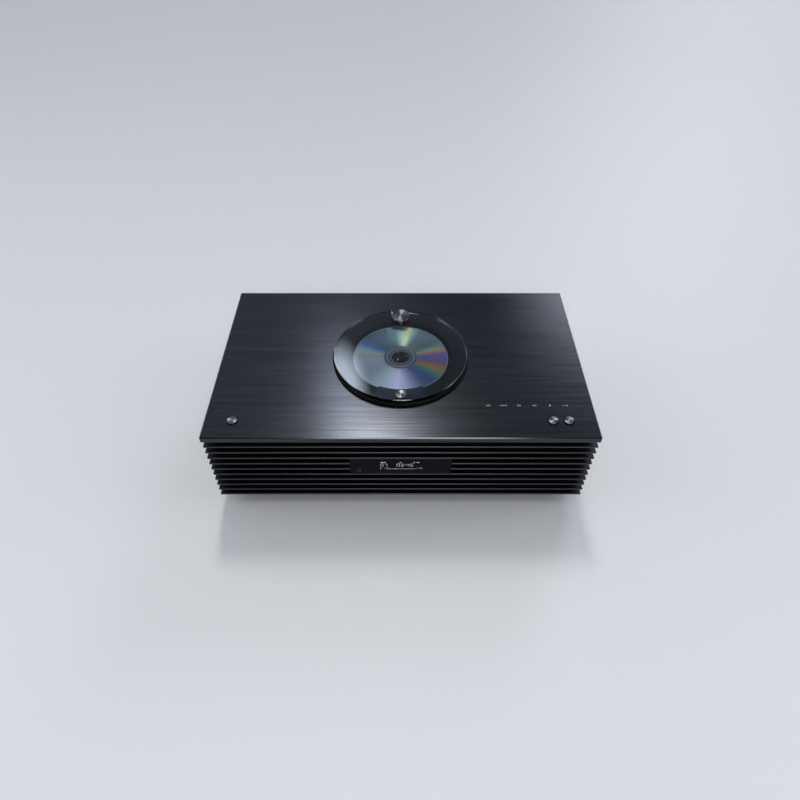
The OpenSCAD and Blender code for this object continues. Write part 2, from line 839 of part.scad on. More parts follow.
// A turned metal top with a chamfered rim and a shallow dish
module turned_top(r, z0, h) {
    rim = 0.5;
    dish = 0.25;
    rotate_extrude() polygon([
        [0, z0], [r, z0], [r, z0 + h - rim], [r - rim, z0 + h], [r - 2*rim, z0 + h], [0, z0 + h - dish]]);
}

module lid_knob() {
    color("#b9bcc2") at_knob() {
        turned_top(knob_r, lid_top, knob_h);
        drill(stud_r, lid_z - grip_t, lid_top + free);
    }
}

module lid_pivot_cap() {
    color("#b9bcc2") at_pivot() turned_top(pivot_cap_r, lid_top, pivot_cap_h);
}

// Pivot shaft: its flange carries the lid on the bush, and its groove takes the clip
module lid_pivot_shaft() {
    flange_r = bush_r + free;
    flange_z = bezel_top + bush_flange_t + running;
    clip_top = bush_bottom - running;
    tail = clip_top - clip_t - 2;
    neck_r = pivot_r - clip_groove;
    color("#a5a8ad") at_pivot() rotate_extrude() polygon([
        [0, tail], [pivot_r, tail], [pivot_r, clip_top - clip_t - running],
        [neck_r, clip_top - clip_t - running], [neck_r, clip_top],
        [pivot_r, clip_top], [pivot_r, flange_z], [flange_r, flange_z],
        [flange_r, lid_z], [pivot_r, lid_z], [pivot_r, lid_top], [0, lid_top]]);
}

module lid_pivot_bush() {
    color("#b08a3c") at_pivot() {
        ring(pivot_r + running, bush_r, bush_bottom, bezel_top);
        ring(pivot_r + running, bush_r + free, bezel_top, bezel_top + bush_flange_t);
    }
}

// Spring clip: an open ring in the shaft's groove that holds the lid down
module lid_pivot_clip() {
    z1 = bush_bottom - running;
    mouth = 2*(pivot_r - clip_groove) - 1;
    color("#6d7075") at_pivot() difference() {
        ring(pivot_r - clip_groove + running, pivot_r + clip_w, z1 - clip_t, z1);
        translate([-mouth/2, 0, z1 - clip_t - free])
            cube([mouth, pivot_r + clip_w + free, clip_t + 2*free]);
    }
}

// Disc well: bezel, wall and floor in one moulding, with a boss for the lid's pivot
module disc_well() {
    slot_half = turret_r + free;
    color("#0f1011") difference() {
        union() {
            rotate_extrude() polygon([
                [platter_r + 2, well_under], [well_r + well_t, well_under],
                [well_r + well_t, plate_top - bezel_web], [seat_r, plate_top - bezel_web],
                [seat_r, plate_top], [bezel_r, plate_top], [bezel_r, bezel_top - bezel_edge],
                [bezel_r - bezel_edge, bezel_top], [well_r + bezel_edge, bezel_top],
                [well_r, bezel_top - bezel_edge], [well_r, well_floor], [platter_r + 2, well_floor]]);
            at_pivot() drill(bush_r + running + pivot_boss_wall, bush_bottom + 2, plate_top - bezel_web/2);
        }
        at_pivot() drill(bush_r + running, bush_bottom - free, bezel_top + free);
        block(
            [-slot_half, -lens_in - sled_travel - turret_r - 0.3, well_under - free],
            [slot_half, 0, well_floor]);
        drill(well_r, well_floor, bezel_top - bezel_edge);
    }
}

// Disc: a clear inner ring, a raised stacking ring and the recorded band
module disc() {
    stack_r = 17.2;
    stack_w = 1.2;
    stack_h = 0.2;
    color("#c9ced6") rotate_extrude() polygon([
        [disc_hole_r, disc_z], [disc_r, disc_z], [disc_r, disc_top], [stack_r + stack_w, disc_top],
        [stack_r + stack_w, disc_top + stack_h], [stack_r, disc_top + stack_h], [stack_r, disc_top],
        [disc_hole_r, disc_top]]);
}

// Turntable: platter, centring boss with pockets for the balls, hub and shaft
module turntable() {
    motor_top = chassis_top + motor_h;
    color("#151617") difference() {
        rotate_extrude() polygon([
            [0, chassis_top + free], [shaft_r, chassis_top + free], [shaft_r, motor_top + free],
            [hub_r, motor_top + free], [hub_r, disc_z - platter_t], [platter_r, disc_z - platter_t],
            [platter_r, disc_z], [boss_r, disc_z], [boss_r, disc_top + boss_h - boss_rim],
            [boss_r - boss_rim, disc_top + boss_h], [0, disc_top + boss_h]]);
        for (a = [0, 120, 240]) rotate(a) translate([ball_ring_r, 0, ball_z]) sphere(r = ball_r + running);
    }
}

module chuck_balls() {
    color("#c4c7cc") for (a = [0, 120, 240])
        rotate(a) translate([ball_ring_r, 0, ball_z]) sphere(r = ball_r);
}

module spindle_motor() {
    color("#77797d") difference() {
        union() {
            drill(motor_r - motor_flange/2, chassis_top, chassis_top + motor_h);
            drill(motor_r, chassis_top, chassis_top + motor_flange);
        }
        drill(shaft_r + running, chassis_top + free - running, chassis_top + motor_h + free);
    }
}

module at_dampers() {
    for (a = damper_angles) rotate(a) translate([damper_ring_r, 0, 0]) children();
}

// Player's chassis: a plate with folded edges, posts for the guide rods and the feed wheel's axle
module player_chassis() {
    fold_h = 6;
    color("#8b8e93") difference() {
        union() {
            block([-chassis_x, chassis_front, chassis_z], [chassis_x, chassis_back, chassis_top]);
            for (s = [-1, 1])
                translate([s*(chassis_x - chassis_t/2) - chassis_t/2, chassis_front, chassis_z - fold_h])
                    cube([chassis_t, chassis_back - chassis_front, fold_h]);
            for (s = [-1, 1], y = [post_in, post_out - post_t])
                translate([s*rod_offset - post_w/2, y, chassis_top])
                    cube([post_w, post_t, rod_z + rod_r + 2 - chassis_top]);
            translate([feed_x, feed_y, 0]) {
                drill(axle_r*2, chassis_top, wheel_z - loose);
                drill(axle_r, chassis_top, sled_top);
            }
        }
        for (s = [-1, 1]) translate([s*rod_offset, 0, rod_z]) rotate([90, 0, 0])
            translate([0, 0, -post_in - post_t - free])
                cylinder(r = rod_r + running, h = post_in - post_out + 2*post_t + 2*free);
        translate([pinion_x, feed_y, 0]) drill(shaft_r*2, chassis_z - free, chassis_top + free);
        block([-rod_offset, post_out, chassis_z - free], [0, post_in - 2*post_t, chassis_top + free]);
    }
}

module player_dampers() {
    waist = 0.8;
    mid = (chassis_top + well_under)/2;
    color("#26272a") at_dampers() rotate_extrude() polygon([
        [0, chassis_top], [damper_r, chassis_top], [damper_r, mid - 2], [damper_r - waist, mid],
        [damper_r, mid + 2], [damper_r, well_under], [0, well_under]]);
}

module guide_rods() {
    color("#c4c7cc") for (s = [-1, 1]) translate([s*rod_offset, post_in + post_t, rod_z])
        rotate([90, 0, 0]) cylinder(r = rod_r, h = post_in - post_out + 2*post_t);
}

// Pickup sled: runs on one rod by a bore and on the other by a slot, with the rack on its side
module pickup_sled() {
    rack_half = sled_travel/2 + 4;
    slot_h = 2*(rod_r + running);
    rack_t = 4;
    color("#2f3136") difference() {
        union() {
            block([-sled_w/2, -lens_in - sled_nose, sled_z], [sled_w/2, -lens_in + sled_tail, sled_top]);
            translate([0, -lens_in, 0]) drill(turret_r, sled_top, turret_top);
            translate([rack_x, -lens_in - (sled_nose - sled_tail)/2 - rack_phase(), 0])
                slab(sled_z, sled_z + rack_t) polygon(rack_outline(rack_module, rack_half));
        }
        for (s = [-1, 1]) translate([s*rod_offset, 0, rod_z]) rotate([90, 0, 0])
            cylinder(r = rod_r + running, h = -post_out + post_t);
        block(
            [-sled_w/2 - free, -lens_in - sled_nose - free, rod_z - slot_h/2],
            [-rod_offset, -lens_in + sled_tail + free, rod_z + slot_h/2]);
    }
}

// Shift that puts a rack space opposite the feed gear while the sled is at its inner stop
function rack_phase() = let (step = PI*rack_module, off = sled_travel/2) off - step*round(off/step);

module objective_lens() {
    lens_r = 2.6;
    lens_h = 0.8;
    color("#7fa3c4") translate([0, -lens_in, turret_top])
        cylinder(r1 = lens_r, r2 = lens_r - lens_h, h = lens_h);
}

// Feed wheel: the large wheel and the small gear that drives the rack, on one bore
module feed_wheel() {
    color("#d8d3c4") translate([feed_x, feed_y, 0]) difference() {
        union() {
            slab(wheel_z, wheel_top) polygon(gear_outline(wheel_teeth, wheel_module));
            slab(wheel_top, sled_top - 2) rotate(180) polygon(gear_outline(rack_gear_teeth, rack_module));
        }
        drill(axle_r + running, wheel_z - free, sled_top + free);
    }
}

module feed_pinion() {
    phase = 180 + 180/pinion_teeth;
    color("#b08a3c") translate([pinion_x, feed_y, 0]) {
        slab(wheel_z, wheel_top) rotate(phase) polygon(gear_outline(pinion_teeth, wheel_module));
        drill(shaft_r, chassis_z - feed_motor_len/2, wheel_z + free);
    }
}

module feed_motor() {
    color("#77797d") translate([pinion_x, feed_y, 0]) difference() {
        drill(feed_motor_r, chassis_z - feed_motor_len, chassis_z);
        drill(shaft_r + running, chassis_z - feed_motor_len/2 - running, chassis_z + free);
    }
}

// Button: a turned cap in the plate's hole, a flange that stops it, and a stem to its switch
module button() {
    rim = 0.4;
    flange_top = plate_z - loose;
    top = plate_top + button_proud;
    rotate_extrude() polygon([
        [0, stem_z], [stem_r, stem_z], [stem_r, flange_top - button_flange_t],
        [button_r + button_flange_w, flange_top - button_flange_t], [button_r + button_flange_w, flange_top],
        [button_r, flange_top], [button_r, top - rim], [button_r - rim, top], [0, top]]);
}

module power_button() {
    color("#b9bcc2") translate([power_x, button_y, 0]) button();
}

module volume_down_button() {
    color("#b9bcc2") translate([volume_x - button_pitch, button_y, 0]) button();
}

module volume_up_button() {
    color("#b9bcc2") translate([volume_x, button_y, 0]) button();
}

// Switch board: one switch a button, hung from the plate by pillars and kept clear of the cloth
module switch_board(x0, x1) {
    mid = (x0 + x1)/2;
    half = (x1 - x0)/2 + board_margin;
    front = max(-board_d/2, cabinet_front + cloth_t + loose - button_y);
    translate([mid, button_y, 0]) {
        block([-half, front, board_top - board_t], [half, board_d/2, board_top]);
        for (sx = [-1, 1], y = [front + pillar_r, board_d/2 - pillar_r])
            translate([sx*(half - pillar_r), y, 0]) drill(pillar_r, board_top, plate_z);
    }
    for (x = x1 > x0 ? [x0, x1] : [x0]) translate([x, button_y, 0]) {
        translate([-switch_w/2, -switch_w/2, board_top]) cube([switch_w, switch_w, switch_h]);
        drill(plunger_r, board_top + switch_h, plunger_top);
    }
}

module power_switch_board() {
    color("#2c5a3c") switch_board(power_x, power_x);
}

module volume_switch_board() {
    color("#2c5a3c") switch_board(volume_x - button_pitch, volume_x);
}

// Touch board: lies against the plate's underside below the line of touch keys
module touch_board() {
    span = (touch_count - 1)*touch_pitch;
    y0 = max(touch_y - touch_board_d/3, baffle_back + loose);
    color("#2c5a3c") block(
        [volume_x - span - touch_margin, y0, plate_z - board_t],
        [volume_x + touch_margin, y0 + touch_board_d, plate_z]);
}

// Display window: dark glossy panel between two fins, level with the fins' edges
module display_window() {
    color("#08090a") block(
        [-display_w/2, front_y, window_z0], [display_w/2, front_y + display_t, window_z1]);
}

module housing_block(y0, y1, shrink) {
    in = housing_inset + shrink;
    block([-display_w/2 + in, y0, window_z0 + in], [display_w/2 - in, y1, window_z1 - in]);
}

// Housing: a rectangular sleeve from the window back to the baffle
module display_housing() {
    color("#131415") difference() {
        housing_block(front_y + display_t, baffle_front, 0);
        housing_block(front_y + display_t - free, baffle_front + free, housing_wall);
    }
}

module display_panel() {
    color("#1d2a33")
        housing_block(front_y + display_t, front_y + display_t + panel_t, housing_wall + running);
}

// Half the profile of a dome of radius r and height h that stands at level z, from its top to its rim
function dome(r, h, z, n = 8) =
    let (ball = (r*r + h*h)/(2*h), open = asin(r/ball))
    arc([0, z + h - ball], ball, 90, 90 - open, n);

function reverse(points) = [for (i = [len(points) - 1 : -1 : 0]) points[i]];

function driver_cut(rim_r, roll_w) = rim_r + roll_w + basket_t;

// Driver frame: seat for the surround, flange against the panel, and a windowed basket behind it
module driver_frame(rim_r, roll_w, depth, coil_r, magnet_r) {
    cut_r = driver_cut(rim_r, roll_w);
    edge_r = rim_r + roll_w + running;
    lip_r = rim_r + roll_w - lip_w;
    back_r = back_share*magnet_r;
    window_w = window_share*back_r;
    window_h = window_share*depth;
    hole_r = coil_r + coil_gap + coil_t;
    difference() {
        rotate_extrude() polygon([
            [cut_r + flange_w, 0], [cut_r + flange_w, flange_t], [edge_r, flange_t], [edge_r, 0],
            [lip_r, 0], [lip_r, -basket_t], [back_r, -depth], [hole_r, -depth], [hole_r, -depth - basket_t],
            [back_r + basket_t, -depth - basket_t], [cut_r, -2*basket_t], [cut_r, 0]]);
        for (a = [45 : 90 : 315]) rotate(a)
            translate([hole_r + basket_t, -window_w/2, -depth + 2.5*basket_t])
                cube([cut_r, window_w, window_h]);
    }
}

// Driver magnet: plates, magnet ring and pole round the gap that the voice coil moves in
module driver_magnet(depth, coil_r, magnet_r, magnet_t) {
    front = -depth - basket_t;
    back = front - magnet_t;
    plate = 0.25*magnet_t;
    rotate_extrude() polygon([
        [0, back], [magnet_r - 2, back], [magnet_r, back + plate], [magnet_r, front],
        [coil_r + coil_t + coil_gap, front], [coil_r + coil_t + coil_gap, front - plate],
        [coil_r + coil_t + 3*coil_gap, front - plate], [coil_r + coil_t + 3*coil_gap, back + plate],
        [coil_r - coil_gap, back + plate], [coil_r - coil_gap, front - free], [0, front - free]]);
}

// Driver cone: paper cone, dust cap and the coil's tube, as one moving piece
module driver_cone(rim_r, depth, coil_r) {
    rim_z = 0.5;
    neck_z = -neck_share*depth;
    cap_r = coil_r + cap_lap;
    cap_h = cap_rise*cap_r;
    slope = (rim_z - neck_z)/(rim_r - coil_r);
    cap_z = neck_z + slope*cap_lap;
    rotate_extrude() polygon(concat(
        dome(cap_r, cap_h, cap_z),
        [[rim_r, rim_z], [rim_r, rim_z - cone_t], [coil_r + coil_t, neck_z - cone_t],
            [coil_r + coil_t, neck_z - coil_tail], [coil_r, neck_z - coil_tail]],
        reverse(dome(coil_r, cap_h - cone_t, cap_z))));
}

// Driver surround: a half-roll of rubber from the seat to just outside the cone's rim
module driver_surround(rim_r, roll_w) {
    roll_in = rim_r + rim_gap + roll_lip;
    roll_out = rim_r + roll_w - lip_w + roll_lap;
    mid = (roll_in + roll_out)/2;
    roll = (roll_out - roll_in)/2;
    rotate_extrude() polygon(concat(
        [[rim_r + rim_gap, 0], [rim_r + rim_gap, lip_t]],
        arc([mid, lip_t], roll, 180, 0, 10),
        [[rim_r + roll_w, lip_t], [rim_r + roll_w, 0]],
        arc([mid, 0], roll - lip_t, 0, 180, 10)));
}

module woofer_frames() {
    color("#2a2b2e") for (s = [-1, 1]) facing_front(s*woofer_x, woofer_z)
        driver_frame(woofer_rim_r, woofer_roll_w, woofer_depth, woofer_coil_r, woofer_magnet_r);
}

module woofer_magnets() {
    color("#4a4b4e") for (s = [-1, 1]) facing_front(s*woofer_x, woofer_z)
        driver_magnet(woofer_depth, woofer_coil_r, woofer_magnet_r, woofer_magnet_t);
}

module woofer_surrounds() {
    color("#17181a") for (s = [-1, 1]) facing_front(s*woofer_x, woofer_z)
        driver_surround(woofer_rim_r, woofer_roll_w);
}

module woofer_cone_left() {
    color("#3a3a3c") facing_front(-woofer_x, woofer_z)
        driver_cone(woofer_rim_r, woofer_depth, woofer_coil_r);
}

module woofer_cone_right() {
    color("#3a3a3c") facing_front(woofer_x, woofer_z)
        driver_cone(woofer_rim_r, woofer_depth, woofer_coil_r);
}

function tweeter_body_r() = tweeter_dome_r + 3;

// Tweeters: domes in flanged faceplates with their magnets behind
module tweeters() {
    body_r = tweeter_body_r();
    flange_r = body_r + tweeter_flange_w/2;
    color("#3a3b3e") for (s = [-1, 1]) facing_front(s*tweeter_x, tweeter_z) rotate_extrude() polygon(concat(
        dome(tweeter_dome_r, dome_rise*tweeter_dome_r, dome_seat),
        [[body_r, flange_t], [flange_r, flange_t], [flange_r, 0], [body_r, 0],
            [body_r, -tweeter_depth], [0, -tweeter_depth]]));
}

module subwoofer_frame() {
    color("#2a2b2e") facing_down()
        driver_frame(sub_rim_r, sub_roll_w, sub_depth, sub_coil_r, sub_magnet_r);
}

module subwoofer_magnet() {
    color("#4a4b4e") facing_down() driver_magnet(sub_depth, sub_coil_r, sub_magnet_r, sub_magnet_t);
}

module subwoofer_surround() {
    color("#17181a") facing_down() driver_surround(sub_rim_r, sub_roll_w);
}

module subwoofer_cone() {
    color("#3a3a3c") facing_down() driver_cone(sub_rim_r, sub_depth, sub_coil_r);
}

module board(x, w, y, d, z) {
    translate([x - w/2, y, z]) cube([w, d, board_t]);
}

// Main board behind the recess, with its processor and its shielded radio module
module main_board() {
    chip = [22, 18, 2];
    shield = [26, 20, 4];
    color("#2c5a3c") {
        board(recess_x, recess_w, rear_board_y, rear_board_d, board_z);
        translate([recess_x - chip.x/2, rear_board_y + 4, socket_z]) cube(chip);
        translate([recess_x + recess_w/4, rear_board_y + 4, socket_z]) cube(shield);
    }
}

// Power board with its transformer and a row of smoothing capacitors
module power_board() {
    core = [30, 20, 30];
    winding = [20, 28, 22];
    cap_r = 8;
    cap_h = 30;
    cap_pitch = 19;
    mid_y = rear_board_y + 18;
    color("#2c5a3c") {
        board(power_board_x, side_board_w, rear_board_y, side_board_d, side_board_z);
        for (size = [core, winding])
            translate([power_board_x - side_board_w/4 - size.x/2, mid_y - size.y/2, side_board_top])
                cube(size);
        for (i = [0 : 1])
            translate([power_board_x + cap_pitch/2 + i*cap_pitch, mid_y, side_board_top])
                cylinder(r = cap_r, h = cap_h);
    }
}

module amplifier_board() {
    color("#2c5a3c") board(amp_x, amp_board_w, rear_board_y, side_board_d, side_board_z);
}

// Heat sink: a base and upright fins on the amplifier board
module heat_sink() {
    step = (sink_size.x - sink_fin)/(sink_fins - 1);
    color("#9a9ca0") translate([amp_x - sink_size.x/2, rear_board_y + spacer_inset, side_board_top]) {
        cube([sink_size.x, sink_size.y, sink_base]);
        for (i = [0 : sink_fins - 1]) translate([i*step, 0, 0]) cube([sink_fin, sink_size.y, sink_size.z]);
    }
}

module at_inlet() {
    translate([-inlet_x, rear_out, side_board_top]) children();
}

// Mains inlet: a figure-of-eight mouth with two pins, level with the rear panel
module mains_inlet() {
    mid = inlet_size.z/2;
    color("#101112") at_inlet() {
        difference() {
            socket_body(inlet_size);
            for (s = [-1, 1]) translate([s*inlet_pin_gap/2, 0, 0])
                along_y(inlet_lobe_r, -inlet_depth, free, mid);
            translate([-inlet_pin_gap/2, -inlet_depth, mid - inlet_lobe_r])
                cube([inlet_pin_gap, inlet_depth + free, 2*inlet_lobe_r]);
        }
        for (s = [-1, 1]) translate([s*inlet_pin_gap/2, 0, 0])
            along_y(inlet_pin_r, -inlet_depth - free, -inlet_depth + inlet_pin_len, mid);
    }
}

module network_jack() {
    color("#8d9095") socket_at(1) difference() {
        socket_body(network_size);
        socket_mouth(network_size, network_mouth);
    }
}

module usb_port() {
    color("#a5a8ad") socket_at(2) difference() {
        socket_body(usb_size);
        socket_mouth(usb_size, usb_mouth);
    }
}

module optical_jack() {
    color("#1c1d1f") socket_at(3) difference() {
        socket_body(optical_size);
        socket_mouth(optical_size, optical_mouth);
    }
}

// Round jacks: analogue input and headphones, each a body with a nose through the recess's face
module round_jacks() {
    mid = jack_size.z/2;
    color("#1c1d1f") for (i = [4, 5]) socket_at(i) difference() {
        union() {
            translate([0, -recess_t, 0]) socket_body(jack_size);
            along_y(jack_nose_r, -recess_t - free, jack_proud, mid);
        }
        along_y(jack_r, jack_proud - jack_depth, jack_proud + free, mid);
    }
}

// Aerial socket: a block behind the face, a nut on it and the plain stem of its thread
module aerial_socket() {
    mid = aerial_size.z/2;
    core_r = 0.9;
    color("#b9bcc2") socket_at(0) difference() {
        union() {
            translate([0, -recess_t, 0]) socket_body(aerial_size);
            along_y(aerial_r, -recess_t - free, aerial_nut_t + aerial_len, mid);
            translate([0, 0, mid]) rotate([-90, 0, 0]) cylinder(r = aerial_nut_r, h = aerial_nut_t, $fn = 6);
        }
        along_y(core_r, 0, aerial_nut_t + aerial_len + free, mid);
    }
}

top_plate();
louvre_grille();
cabinet_shell();
front_baffle();
speaker_cloth();
rear_panel();
base_tray();
subwoofer_guard();
feet();
foot_screws();
rear_screws();
lid();
lid_grip_plate();
lid_knob();
lid_pivot_cap();
lid_pivot_shaft();
lid_pivot_bush();
lid_pivot_clip();
disc_well();
disc();
turntable();
chuck_balls();
spindle_motor();
player_chassis();
player_dampers();
guide_rods();
pickup_sled();
objective_lens();
feed_wheel();
feed_pinion();
feed_motor();
power_button();
volume_down_button();
volume_up_button();
power_switch_board();
volume_switch_board();
touch_board();
display_window();
display_panel();
display_housing();
woofer_frames();
woofer_magnets();
woofer_surrounds();
woofer_cone_left();
woofer_cone_right();
tweeters();
subwoofer_frame();
subwoofer_magnet();
subwoofer_surround();
subwoofer_cone();
main_board();
power_board();
amplifier_board();
heat_sink();
mains_inlet();
network_jack();
usb_port();
optical_jack();
round_jacks();
aerial_socket();
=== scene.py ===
"""Dresses the all-in-one stereo console: its finishes, the fine pieces on it, the light and the camera."""
import json
import logging
import math
from dataclasses import dataclass
from enum import Enum
from functools import cache
from typing import Callable, ClassVar, Iterable, Mapping, Sequence

import bmesh
import bpy
import numpy as np
from mathutils import Matrix, Vector


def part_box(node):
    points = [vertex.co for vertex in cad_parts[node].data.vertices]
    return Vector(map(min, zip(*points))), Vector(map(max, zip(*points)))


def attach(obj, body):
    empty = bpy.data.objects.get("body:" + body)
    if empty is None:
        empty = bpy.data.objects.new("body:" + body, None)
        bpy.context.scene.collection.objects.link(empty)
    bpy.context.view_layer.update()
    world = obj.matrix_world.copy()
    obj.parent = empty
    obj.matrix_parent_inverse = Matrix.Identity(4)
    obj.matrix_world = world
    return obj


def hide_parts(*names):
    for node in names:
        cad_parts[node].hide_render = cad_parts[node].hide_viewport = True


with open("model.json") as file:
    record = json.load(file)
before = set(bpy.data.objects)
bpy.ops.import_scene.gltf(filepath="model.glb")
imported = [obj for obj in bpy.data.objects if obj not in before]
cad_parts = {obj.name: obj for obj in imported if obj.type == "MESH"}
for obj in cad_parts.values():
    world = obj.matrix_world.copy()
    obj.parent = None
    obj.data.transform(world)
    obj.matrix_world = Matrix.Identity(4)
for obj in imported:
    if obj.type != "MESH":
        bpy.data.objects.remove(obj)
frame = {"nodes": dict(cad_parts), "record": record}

LOG = logging.getLogger("console")
MM = 0.001
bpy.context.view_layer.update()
CABINET = "cabinet"
# Steps round a flat ring, and the angle in degrees from which an edge between two faces is sharp.
RING_STEPS = 64
SHARP_ANGLE = 32
# Distance in metres under which two points of a mesh become one.
WELD = 1e-7
# Roughness that no pattern goes below.
LEAST_ROUGHNESS = 0.02
# Distance after which Blender's wave texture repeats at a scale of 1.
WAVE_REPEAT = 0.314
# Right and up directions, as seen by someone who looks at that side.
TOP = ((1, 0, 0), (0, 1, 0))
FRONT = ((1, 0, 0), (0, 0, 1))
REAR = ((-1, 0, 0), (0, 0, 1))
Tree = bpy.types.NodeTree
Node = bpy.types.Node
Socket = bpy.types.NodeSocket
# Order of the painted colours that stand for the light a disc's track spreads, from blue to violet.
PAINTED_SPECTRUM = ("#3a5c8a", "#477f78", "#8b855a", "#99714f", "#805672", "#5a539c")


def linear(colour: str) -> tuple[float, float, float, float]:
    """Turns an sRGB hex colour into linear light.

    Args:
        colour: hex value such as "#1c1d20".

    Returns:
        Linear red, green and blue, and an alpha of 1.
    """
    shares = np.array([int(colour[i : i + 2], 16) for i in (1, 3, 5)]) / 255
    light = np.where(shares <= 0.04045, shares / 12.92, ((shares + 0.055) / 1.055) ** 2.4)
    return (*light.tolist(), 1.0)


def box_mm(node: str) -> tuple[np.ndarray, np.ndarray]:
    """Lowest and highest corner of a construction piece, in millimetres."""
    low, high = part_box(node)
    return np.array(low) / MM, np.array(high) / MM


def middle_mm(node: str) -> np.ndarray:
    """Middle of a construction piece's box, in millimetres."""
    low, high = box_mm(node)
    return (low + high) / 2


def add_node(
    tree: Tree,
    kind: str,
    links: Mapping[str | int, Socket] | None = None,
    values: Mapping[str | int, object] | None = None,
    **settings: object,
) -> Node:
    """Adds one shader node with its settings, its socket values and its incoming links.

    Args:
        tree: node tree that takes the node.
        kind: node type without its "ShaderNode" start.
        links: output sockets by the name or number of the input they feed.
        values: fixed values by the name or number of the input.
        settings: properties of the node itself.

    Returns:
        The new node.
    """
    made = tree.nodes.new("ShaderNode" + kind)
    for name, value in settings.items():
        setattr(made, name, value)
    for socket, value in (values or {}).items():
        made.inputs[socket].default_value = value
    for socket, source in (links or {}).items():
        tree.links.new(source, made.inputs[socket])
    return made


def set_stops(ramp: Node, stops: Sequence[tuple[float, str]]) -> None:
    """Gives a colour ramp its stops, each a place from 0 to 1 and a hex colour."""
    elements = ramp.color_ramp.elements
    while len(elements) < len(stops):
        elements.new(1.0)
    for element, (place, colour) in zip(elements, sorted(stops)):
        element.position = place
        element.color = linear(colour)


@dataclass(frozen=True)
class Finish:
    """A surface finish, which becomes one procedural material."""

    name: str
    colour: str
    roughness: float
    metallic: float = 0.0

    @cache
    def material(self) -> bpy.types.Material:
        """Builds the material the first time it is asked for, and gives the same one after that.

        Returns:
            A principled surface with this finish's own pattern.
        """
        made = bpy.data.materials.new(self.name)
        made.use_nodes = True
        tree = made.node_tree
        surface = tree.nodes["Principled BSDF"]
        surface.inputs["Base Color"].default_value = linear(self.colour)
        surface.inputs["Roughness"].default_value = self.roughness
        surface.inputs["Metallic"].default_value = self.metallic
        self.pattern(tree, surface, add_node(tree, "TexCoord").outputs["Object"])
        return made

    def pattern(self, tree: Tree, surface: Node, place: Socket) -> None:
        """Puts the finish's pattern on the surface.

        Args:
            tree: the material's node tree.
            surface: its principled shader.
            place: object coordinates, in metres.
        """
        raise NotImplementedError

    def vary(
        self, tree: Tree, surface: Node, amount: Socket, shade: str, spread: float, depth: float
    ) -> None:
        """Carries one pattern to the colour, the roughness and the relief.

        Args:
            tree: the material's node tree.
            surface: its principled shader.
            amount: pattern from 0 to 1.
            shade: hex colour where the pattern is 1.
            spread: how far the roughness moves each way.
            depth: height of the relief in millimetres.
        """
        colours = {6: linear(self.colour), 7: linear(shade)}
        mixed = add_node(tree, "Mix", {0: amount}, colours, data_type="RGBA")
        tree.links.new(mixed.outputs[2], surface.inputs["Base Color"])
        least = max(self.roughness - spread, LEAST_ROUGHNESS)
        limits = {"To Min": least, "To Max": self.roughness + spread}
        rough = add_node(tree, "MapRange", {"Value": amount}, limits)
        tree.links.new(rough.outputs[0], surface.inputs["Roughness"])
        relief = add_node(tree, "Bump", {"Height": amount}, {"Distance": depth * MM})
        tree.links.new(relief.outputs[0], surface.inputs["Normal"])

    @staticmethod
    def fan_out(tree: Tree, surface: Node, away: Socket, anisotropy: float) -> None:
        """Opens highlights like a fan, as fine rings about an axis do.

        Args:
            tree: the material's node tree.
            surface: its principled shader.
            away: direction away from the axis, in object coordinates.
            anisotropy: how far the highlights are drawn out, from 0 to 1.
        """
        surface.inputs["Anisotropic"].default_value = anisotropy
        spaces = {"vector_type": "VECTOR", "convert_from": "OBJECT", "convert_to": "WORLD"}
        turned = add_node(tree, "VectorTransform", {"Vector": away}, **spaces)
        tree.links.new(turned.outputs[0], surface.inputs["Tangent"])


@dataclass(frozen=True)
class Grained(Finish):
    """A moulded, cast, coated or pressed surface with an even grain."""

    shade: str = "#202020"
    grain: float = 0.6
    depth: float = 0.02
    spread: float = 0.08
    stretch: tuple[float, float, float] = (1.0, 1.0, 1.0)
    gloss: float = 0.5

    def pattern(self, tree: Tree, surface: Node, place: Socket) -> None:
        """Noise of the grain's size, drawn out along each axis by the stretch."""
        scale = [1 / (MM * self.grain * along) for along in self.stretch]
        sized = add_node(tree, "Mapping", {"Vector": place}, {"Scale": scale})
        sockets = {"Scale": 1.0, "Detail": 4.0, "Roughness": 0.6}
        noise = add_node(tree, "TexNoise", {"Vector": sized.outputs[0]}, sockets)
        self.vary(tree, surface, noise.outputs[0], self.shade, self.spread, self.depth)
        surface.inputs["Specular IOR Level"].default_value = self.gloss


@dataclass(frozen=True)
class Brushed(Finish):
    """Metal brushed along X: hairlines that run one way and draw highlights out across themselves."""

    shade: str = "#555555"
    hair: float = 1.1
    hair_length: float = 80.0
    depth: float = 0.001
    spread: float = 0.015
    anisotropy: float = 0.34
    # Stretch of the noise from which the hairlines take their contrast.
    contrast: tuple[float, float] = (0.2, 0.8)

    def pattern(self, tree: Tree, surface: Node, place: Socket) -> None:
        """Noise drawn out along X, and a tangent across the hairlines for the stretched highlight."""
        scale = [1 / (MM * size) for size in (self.hair_length, self.hair, self.hair)]
        sized = add_node(tree, "Mapping", {"Vector": place}, {"Scale": scale})
        sockets = {"Scale": 1.0, "Detail": 3.0}
        noise = add_node(tree, "TexNoise", {"Vector": sized.outputs[0]}, sockets)
        limits = {"From Min": self.contrast[0], "From Max": self.contrast[1]}
        hairs = add_node(tree, "MapRange", {"Value": noise.outputs[0]}, limits)
        self.vary(tree, surface, hairs.outputs[0], self.shade, self.spread, self.depth)
        surface.inputs["Anisotropic"].default_value = self.anisotropy
        across = add_node(tree, "CombineXYZ", values={"Y": 1.0})
        tree.links.new(across.outputs[0], surface.inputs["Tangent"])


